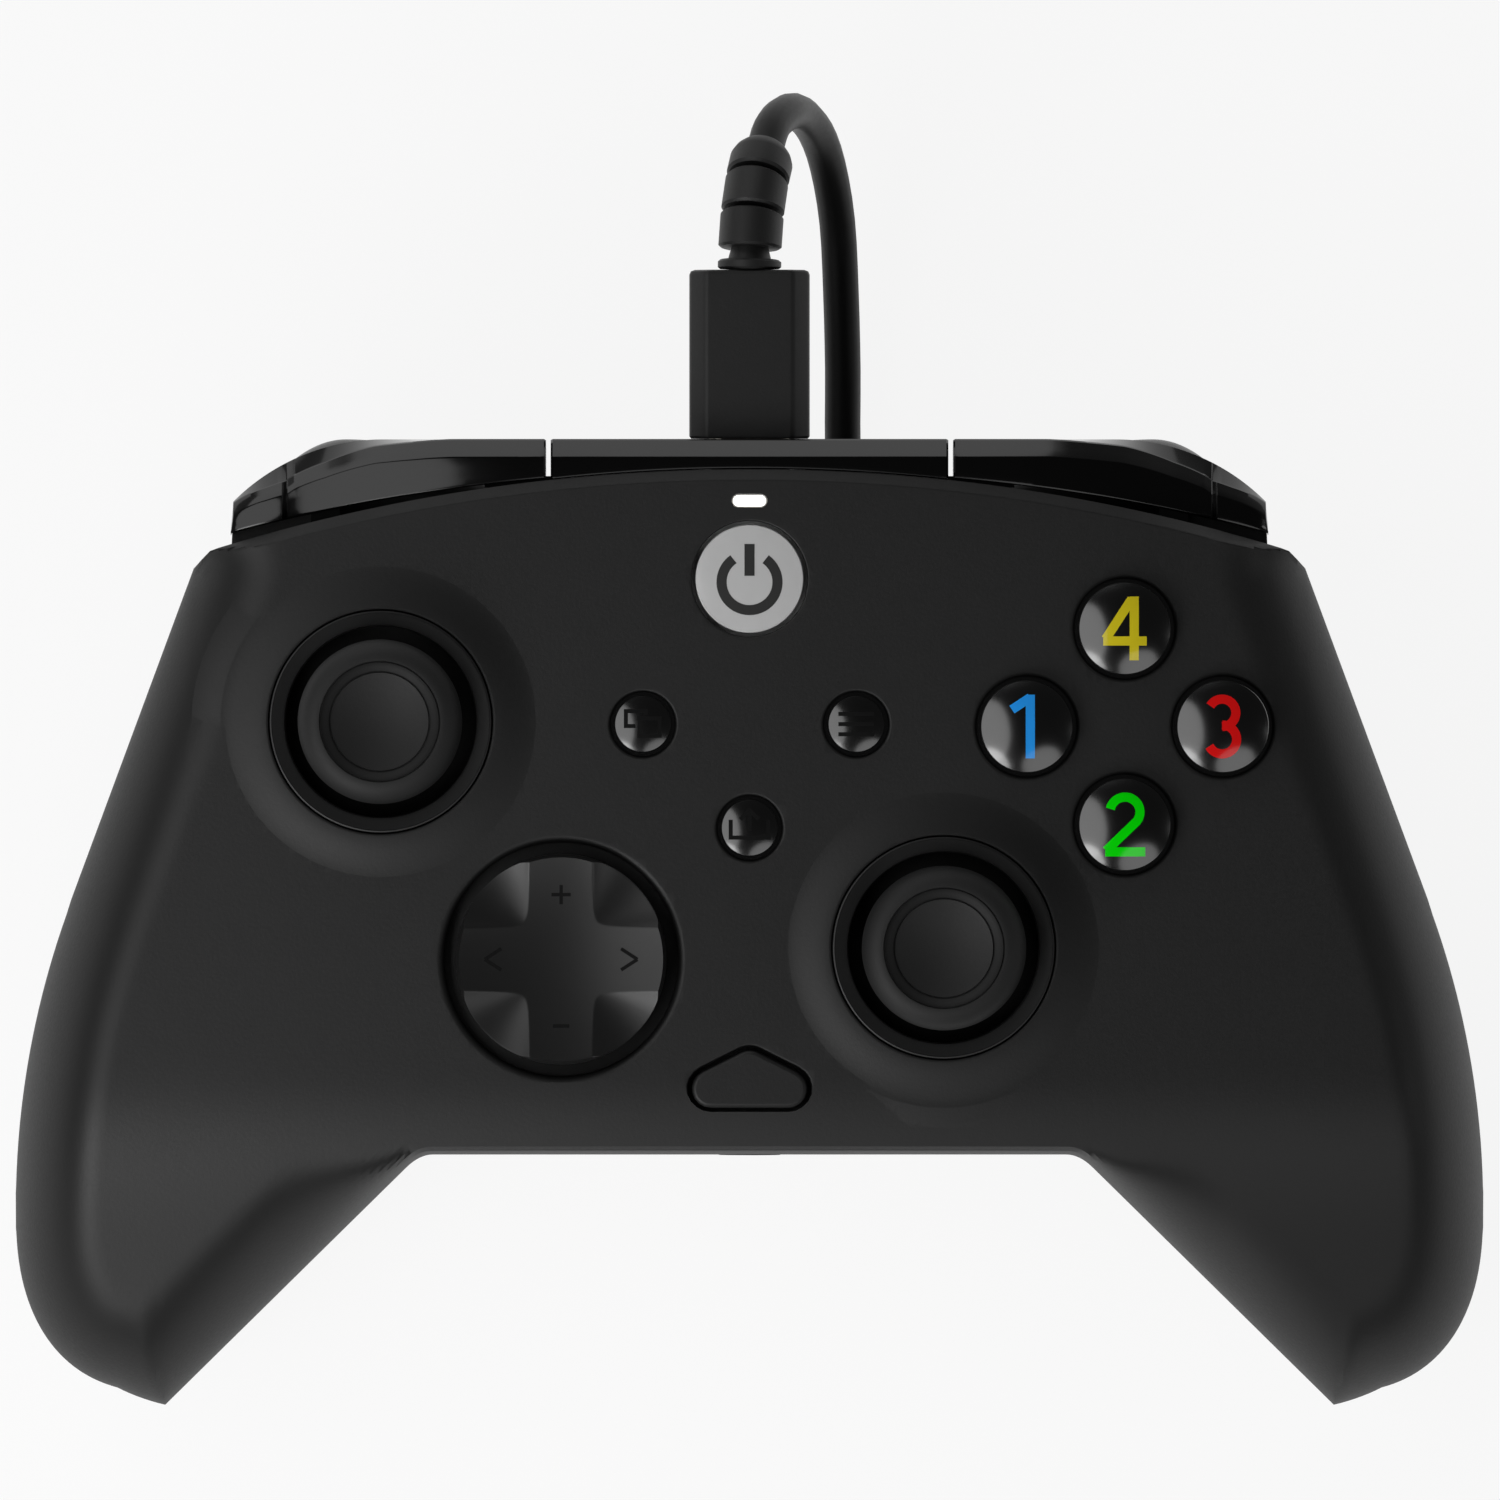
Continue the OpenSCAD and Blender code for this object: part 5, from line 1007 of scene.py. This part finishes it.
def dpad_height(x, y):
    """Height of the pad's upper side over its middle, in millimetres."""
    cross = ARM_TIP_Z - DISH * (1 - np.clip((x ** 2 + y ** 2) / DPAD_R ** 2, 0, 1))
    out_x = np.maximum(1e-6, np.abs(x) - ARM + SOFT)
    out_y = np.maximum(1e-6, np.abs(y) - ARM + SOFT)
    return cross - SLOPE * np.maximum(0, out_x * out_y / (out_x + out_y) - SOFT)


lines = np.linspace(-11.5, 11.5, 185)
gx, gy = np.meshgrid(lines, lines)
bpy.ops.object.select_all(action="DESELECT")
bpy.ops.mesh.primitive_grid_add(x_subdivisions=len(lines) - 1, y_subdivisions=len(lines) - 1, size=1)
dpad = named("dpad_top")
places = np.stack([gx + DPAD_SPOT[0], gy + DPAD_SPOT[1], dpad_height(gx, gy)], axis=-1) * MM
dpad.data.vertices.foreach_set("co", places.astype(np.float32).ravel())
dpad.data.update()
bpy.ops.object.mode_set(mode="EDIT")
bpy.ops.mesh.select_all(action="SELECT")
bpy.ops.mesh.extrude_region_move(TRANSFORM_OT_translate={"value": (0, 0, -4 * MM)})
bpy.ops.object.mode_set(mode="OBJECT")
closed_up(dpad)
print("height map:", len(dpad.data.polygons), "faces")

# %% disc, flange and marks
trim = spun("trim", [(0, 42), (DPAD_R, 42), (DPAD_R, 48.2), (DPAD_R - 0.06, 48.75), (DPAD_R - 0.35, 49.1),
                     (DPAD_R - 0.35, 52), (0, 52)], DPAD_SPOT, 192)
carve(dpad, trim, "INTERSECT")
foot = spun("foot", [(1.5, DPAD_LOW), (DPAD_FLANGE_R, DPAD_LOW), (DPAD_FLANGE_R, DPAD_FLANGE_TOP),
                     (DPAD_R, DPAD_FLANGE_TOP), (DPAD_R, 46.4), (1.5, 46.4)], DPAD_SPOT, 192)
carve(dpad, foot, "UNION")
DPAD_STROKE, INK_HEIGHT = 0.36, 0.015
DPAD_MARKS = [
    [(-1.0, 6.7), (1.0, 6.7)], [(0, 5.7), (0, 7.7)], [(-0.85, -6.9), (0.85, -6.9)],
    [(-7.9, 0), (-6.2, 1.1)], [(-7.9, 0), (-6.2, -1.1)], [(7.9, 0), (6.2, 1.1)], [(7.9, 0), (6.2, -1.1)],
]
marks = strokes("dpad_marks", DPAD_MARKS, DPAD_STROKE, DPAD_SPOT, 46.8, 51)
cover = dpad.copy()
cover.data = dpad.data.copy()
bpy.context.scene.collection.objects.link(cover)
cover.data.transform(Matrix.Translation((0, 0, INK_HEIGHT * MM)))
carve(marks, cover, "INTERSECT")
dressed(smoothed(marks), mark_ink, "dpad", "matte_black_shell")
dressed(smoothed(dpad, 40), dpad_abs, "dpad", "gloss_black", "dpad")
print("direction pad:", len(dpad.data.polygons), "faces")

# %% [markdown]
# A stick cap is turned from one section: a ball-shaped skirt that closes the opening while the
# stick leans, a thin neck, and a cap with a rounded shoulder. Two fine grooves set off a sloping
# ring round the hollow where the thumb sits. The ring on the housing's collar is a separate satin
# moulding that stands a little proud of it.

# %% stick caps and rings
PIVOT_Z, SKIRT_R, SKIRT_T, SKIRT_END, NECK_R = 31.0, 14.0, 1.0, 61, 3.5
CAP_R, CAP_TOP, CAP_UNDER, BORE_R, BORE_TOP = 8.5, 55.6, 51.6, 2.15, 49.9


def groove(radius, height, width=0.16, depth=0.22):
    """A fine groove in a section that runs outwards."""
    return [(radius - width / 2, height), (radius - width / 4, height - depth),
            (radius + width / 4, height - depth), (radius + width / 2, height)]


def skirt(radius, start, end, steps=28):
    """Part of the ball about the pivot, angles from the top in degrees."""
    turns = [math.radians(start + (end - start) * k / steps) for k in range(steps + 1)]
    return [(radius * math.sin(a), PIVOT_Z + radius * math.cos(a)) for a in turns]


HOLLOW, HOLLOW_RISE, HOLLOW_R = 1.75, 0.95, 5.1
hollow = [(r, CAP_TOP - HOLLOW + HOLLOW_RISE * (r / HOLLOW_R) ** 2) for r in (0.0, *np.linspace(0.4, 4.95, 14))]
slope_ring = [(5.3, CAP_TOP - 0.72), (5.7, CAP_TOP - 0.42), (6.05, CAP_TOP - 0.16)]
SHOULDER = 2.25
shoulder = [(CAP_R - SHOULDER + SHOULDER * math.sin(a), CAP_TOP - 2.4 + 2.38 * math.cos(a))
            for a in np.linspace(0.08, 1.57, 14)]
brim = [(CAP_R, CAP_TOP - 2.9), (CAP_R - 0.12, CAP_TOP - 3.4), (CAP_R - 0.7, CAP_UNDER + 0.35),
        (CAP_R - 2.0, CAP_UNDER), (NECK_R + 1.4, CAP_UNDER - 0.4), (NECK_R + 0.4, CAP_UNDER - 0.9),
        (NECK_R, CAP_UNDER - 1.7)]
neck_start = math.degrees(math.asin(NECK_R / SKIRT_R))
bore_start = math.degrees(math.asin(BORE_R / (SKIRT_R - SKIRT_T)))
section = [*hollow, *groove(5.13, CAP_TOP - 0.8), *slope_ring, *groove(6.2, CAP_TOP - 0.03), *shoulder, *brim,
           *skirt(SKIRT_R, neck_start + 1, SKIRT_END), *skirt(SKIRT_R - SKIRT_T, SKIRT_END, bore_start),
           (BORE_R, BORE_TOP), (0.0, BORE_TOP)]
ring_low, ring_top = 41.8, FACE_Z + COLLAR_RISE + 0.2
ring_section = [(RING_IN, ring_low), (RING_OUT, ring_low), (RING_OUT, ring_top - 0.2),
                (RING_OUT - 0.05, ring_top - 0.04), (RING_OUT - 0.18, ring_top),
                (RING_OUT - 0.32, ring_top - 0.08), (RING_IN + 0.35, ring_top - 0.3),
                (RING_IN + 0.1, ring_top - 0.4), (RING_IN, ring_top - 0.65)]
for which, spot in STICK_SPOTS.items():
    cap = spun(which + "_stick_cap_skin", section, spot, 128)
    dressed(smoothed(cap, 40), cap_rubber, which + "_stick_cap", "stick_rubber", which + "_stick_cap")
    ring = spun(which + "_stick_ring_skin", ring_section, spot, 128)
    dressed(smoothed(ring, 30), ring_abs, "housing", "gloss_black", which + "_stick_ring")
print("stick caps:", len(cap.data.polygons), "faces each")

# %% [markdown]
# The plug's overmould is an eight-sided bar with softened edges, pushed up to the bridge. Behind it
# a strain relief follows the bend of the cord: a thin tube with a collar and three thick blocks on
# it. The gaps between the blocks close one after another, so it bends evenly and never in one place.

# %% plug and strain relief
PLUG_END_Y, PLUG_L, PLUG_W, PLUG_H, PLUG_CHAMFER = 67.9, 17.5, 12.5, 6.4, 1.7
W, H = PLUG_W / 2, PLUG_H / 2
w, h = W - PLUG_CHAMFER, H - PLUG_CHAMFER
sides = [(-w, -H), (w, -H), (W, -h), (W, h), (w, H), (-w, H), (-W, h), (-W, -h)]


def plug_ring(y, inset, soft=0.35):
    """One eight-sided section of the overmould with softened corners."""
    line = []
    for k, here in enumerate(sides):
        a, here, b = (Vector(p) * (1 - inset / 4) for p in (sides[k - 1], here, sides[(k + 1) % 8]))
        to_a, to_b = (a - here).normalized() * soft, (b - here).normalized() * soft
        line += [here + to_a, here + to_a * 0.35 + to_b * 0.35, here + to_b]
    return [(p.x, y, SOCKET_Z + p.y) for p in line]


start_y = PLUG_END_Y - PLUG_L
stops = [(start_y, 0.12), (start_y + 0.25, 0), *[(start_y + PLUG_L * k / 6, 0) for k in range(1, 6)],
         (PLUG_END_Y - 0.5, 0), (PLUG_END_Y - 0.15, 0.1), (PLUG_END_Y, 0.35)]
plug = lofted("plug_overmould_skin", [plug_ring(y, inset) for y, inset in stops])
dressed(smoothed(plug), plug_tpe, "housing", "cord_black", "plug_overmould")

BEND_R, BEND_CENTRE = 16.9, Vector((4.771, PLUG_END_Y, 22.788))
LEAN_OUT, AHEAD = Vector((-0.2823, 0, 0.9593)), Vector((0, 1, 0))
TUBE_R, BLOCK_R = 1.95, 3.3


def relief_ring(ahead, radius, count=48):
    """A round section of the strain relief, so far ahead of the plug along its bend."""
    a = math.asin(ahead / BEND_R)
    out = LEAN_OUT * math.cos(a) + AHEAD * math.sin(a)
    across_it = LEAN_OUT.cross(AHEAD)
    centre = BEND_CENTRE + out * BEND_R
    return [tuple(centre + out * radius * math.cos(math.tau * k / count)
                  + across_it * radius * math.sin(math.tau * k / count)) for k in range(count)]


BLOCKS = ((0.05, 1.1), (2.25, 5.75), (6.05, 9.3), (9.6, 11.6))
profile = [(-0.6, TUBE_R)]
for first, last in BLOCKS:
    profile += [(first, TUBE_R), (first + 0.05, BLOCK_R - 0.25), (first + 0.25, BLOCK_R),
                (last - 0.25, BLOCK_R), (last - 0.05, BLOCK_R - 0.25), (last, TUBE_R + 0.3)]
profile[-3:] = [(11.3, BLOCK_R), (11.8, BLOCK_R - 0.25), (12.2, BLOCK_R - 0.65), (12.45, TUBE_R + 0.3)]
relief = lofted("plug_strain_relief_skin", [relief_ring(ahead, radius) for ahead, radius in profile])
dressed(smoothed(relief, 38), plug_tpe, "housing", "cord_black", "plug_strain_relief")
print("plug:", len(plug.data.polygons), "faces, relief:", len(relief.data.polygons))

# %% far plug and tie
FAR_ROUND, FAR_CORNERS = 1.4, [(23.4, 0.4), (34.6, 0.4), (34.6, 15.6), (23.4, 15.6)]
far = layered("usb_a_overmould_skin", [
    (z, rounded_plan(FAR_CORNERS, FAR_ROUND - drawn_in))
    for z, drawn_in in ((0.0, 0.5), (0.15, 0.2), (0.5, 0.0), (6.7, 0.0), (7.05, 0.2), (7.2, 0.5))])
dressed(smoothed(far), plug_tpe, "housing", "cord_black", "usb_a_overmould")
cord.data.materials.append(cord_pvc)
print("far plug made")

# %% [markdown]
# Pieces that need no finer form keep their CAD mesh and only get a material: the pins, springs,
# frames, boards and motors inside, the metal of both plugs, and the tie round the coil.

# %% materials of the carried pieces
CARRIED = {
    "bumper_pins": zinc_steel, "case_screws": zinc_steel, "board_screws": zinc_steel,
    "dpad_plate": zinc_steel, "button_board": board_mask, "main_board": board_mask,
    "button_pads": pad_silicone, "usb_socket": nickel_steel, "headset_jack": frame_pa,
    "bumper_switches": pad_silicone, "plug_shell": nickel_steel, "usb_a_shell": nickel_steel,
    "cable_tie": plug_tpe,
}
for side in ("left_", "right_"):
    for kind, material in (("trigger_pin", zinc_steel), ("trigger_spring", zinc_steel),
                           ("trigger_frame", frame_pa), ("stick_stem", frame_pa), ("stick_yoke", frame_pa),
                           ("stick_housing", nickel_steel), ("rumble_motor", zinc_steel),
                           ("motor_weight", tungsten)):
        CARRIED[side + kind] = material
for name, material in CARRIED.items():
    nodes[name].data.materials.clear()
    nodes[name].data.materials.append(material)
print("carried pieces:", len(CARRIED))

# %% [markdown]
# The photograph was lit by a large soft box on the left and a smaller one towards the player, which
# show as two pale patches on every dome. A low lamp brightens the left grip, a strip behind the pad
# shows in the bevels of the bumpers, and a small lamp draws a rim on the right. The world is dim
# overhead and brighter near the horizon, so flat polished tops stay black. The floor is white to
# the camera and still takes a soft shadow.

# %% lights
LOOK_AT = Vector((0, 0.015, 0.045))


def soft_box(name, azimuth, zenith, distance, size, radiance):
    """An oval area light in that direction, aimed at the pad; radiance is its own brightness."""
    a, z = math.radians(azimuth), math.radians(zenith)
    way = Vector((math.sin(z) * math.cos(a), math.sin(z) * math.sin(a), math.cos(z)))
    bpy.ops.object.select_all(action="DESELECT")
    bpy.ops.object.light_add(type="AREA", location=LOOK_AT + way * distance)
    lamp = bpy.context.object
    lamp.name = name
    lamp.rotation_euler = way.to_track_quat("Z", "Y").to_euler()
    lamp.data.shape = "ELLIPSE"
    lamp.visible_camera = False
    lamp.data.size, lamp.data.size_y = size
    lamp.data.energy = radiance * math.pi * math.pi / 4 * size[0] * size[1]
    return lamp


soft_box("left_box", 186, 34, 0.45, (0.52, 0.34), 1.3)
soft_box("low_left_box", 232, 52, 0.3, (0.2, 0.2), 3.5)
soft_box("player_box", -62, 40, 0.5, (0.34, 0.26), 1.05)
soft_box("back_strip", 108, 62, 0.6, (0.7, 0.3), 1.2)
soft_box("right_rim", -5, 58, 0.5, (0.12, 0.12), 2.0)
world = bpy.data.worlds.new("studio")
bpy.context.scene.world = world
world.use_nodes = True
tree = world.node_tree
way = add_node(tree, "ShaderNodeTexCoord", {}).outputs["Generated"]
height = add_node(tree, "ShaderNodeSeparateXYZ", {"Vector": way}).outputs["Z"]
glow = add_node(tree, "ShaderNodeValToRGB", {"Fac": height},
                [(0.1, (0.25, 0.25, 0.25, 1)), (0.7, (0.03, 0.03, 0.03, 1))])
tree.links.new(glow.outputs["Color"], tree.nodes["Background"].inputs["Color"])
bpy.context.scene.view_settings.view_transform = "Standard"

# %% floor
bpy.ops.object.select_all(action="DESELECT")
bpy.ops.mesh.primitive_plane_add(size=8)
floor = named("floor")
# Matte paper: flat white with no shine, so the shadow on it stays soft and even.
white, tree, surface, place = finish("matte_white_paper", Base_Color=linear("#f2f2f2"), Roughness=0.9)
rays = add_node(tree, "ShaderNodeLightPath", {})
seen = rays.outputs["Is Camera Ray"]
for kind in ("Is Glossy Ray", "Is Transmission Ray"):
    either = add_node(tree, "ShaderNodeMath", {0: seen, 1: rays.outputs[kind]}, operation="MAXIMUM")
    seen = either.outputs["Value"]
GLOW_SHARE = 0.89
share = add_node(tree, "ShaderNodeMath", {0: seen, 1: GLOW_SHARE}, operation="MULTIPLY")
bright = add_node(tree, "ShaderNodeEmission", {"Color": (1, 1, 1, 1), "Strength": 1.0})
blend = add_node(tree, "ShaderNodeMixShader", {0: share.outputs["Value"], 1: surface.outputs["BSDF"],
                                               2: bright.outputs["Emission"]})
tree.links.new(blend.outputs["Shader"], tree.nodes["Material Output"].inputs["Surface"])
floor.data.materials.append(white)
print("floor laid")
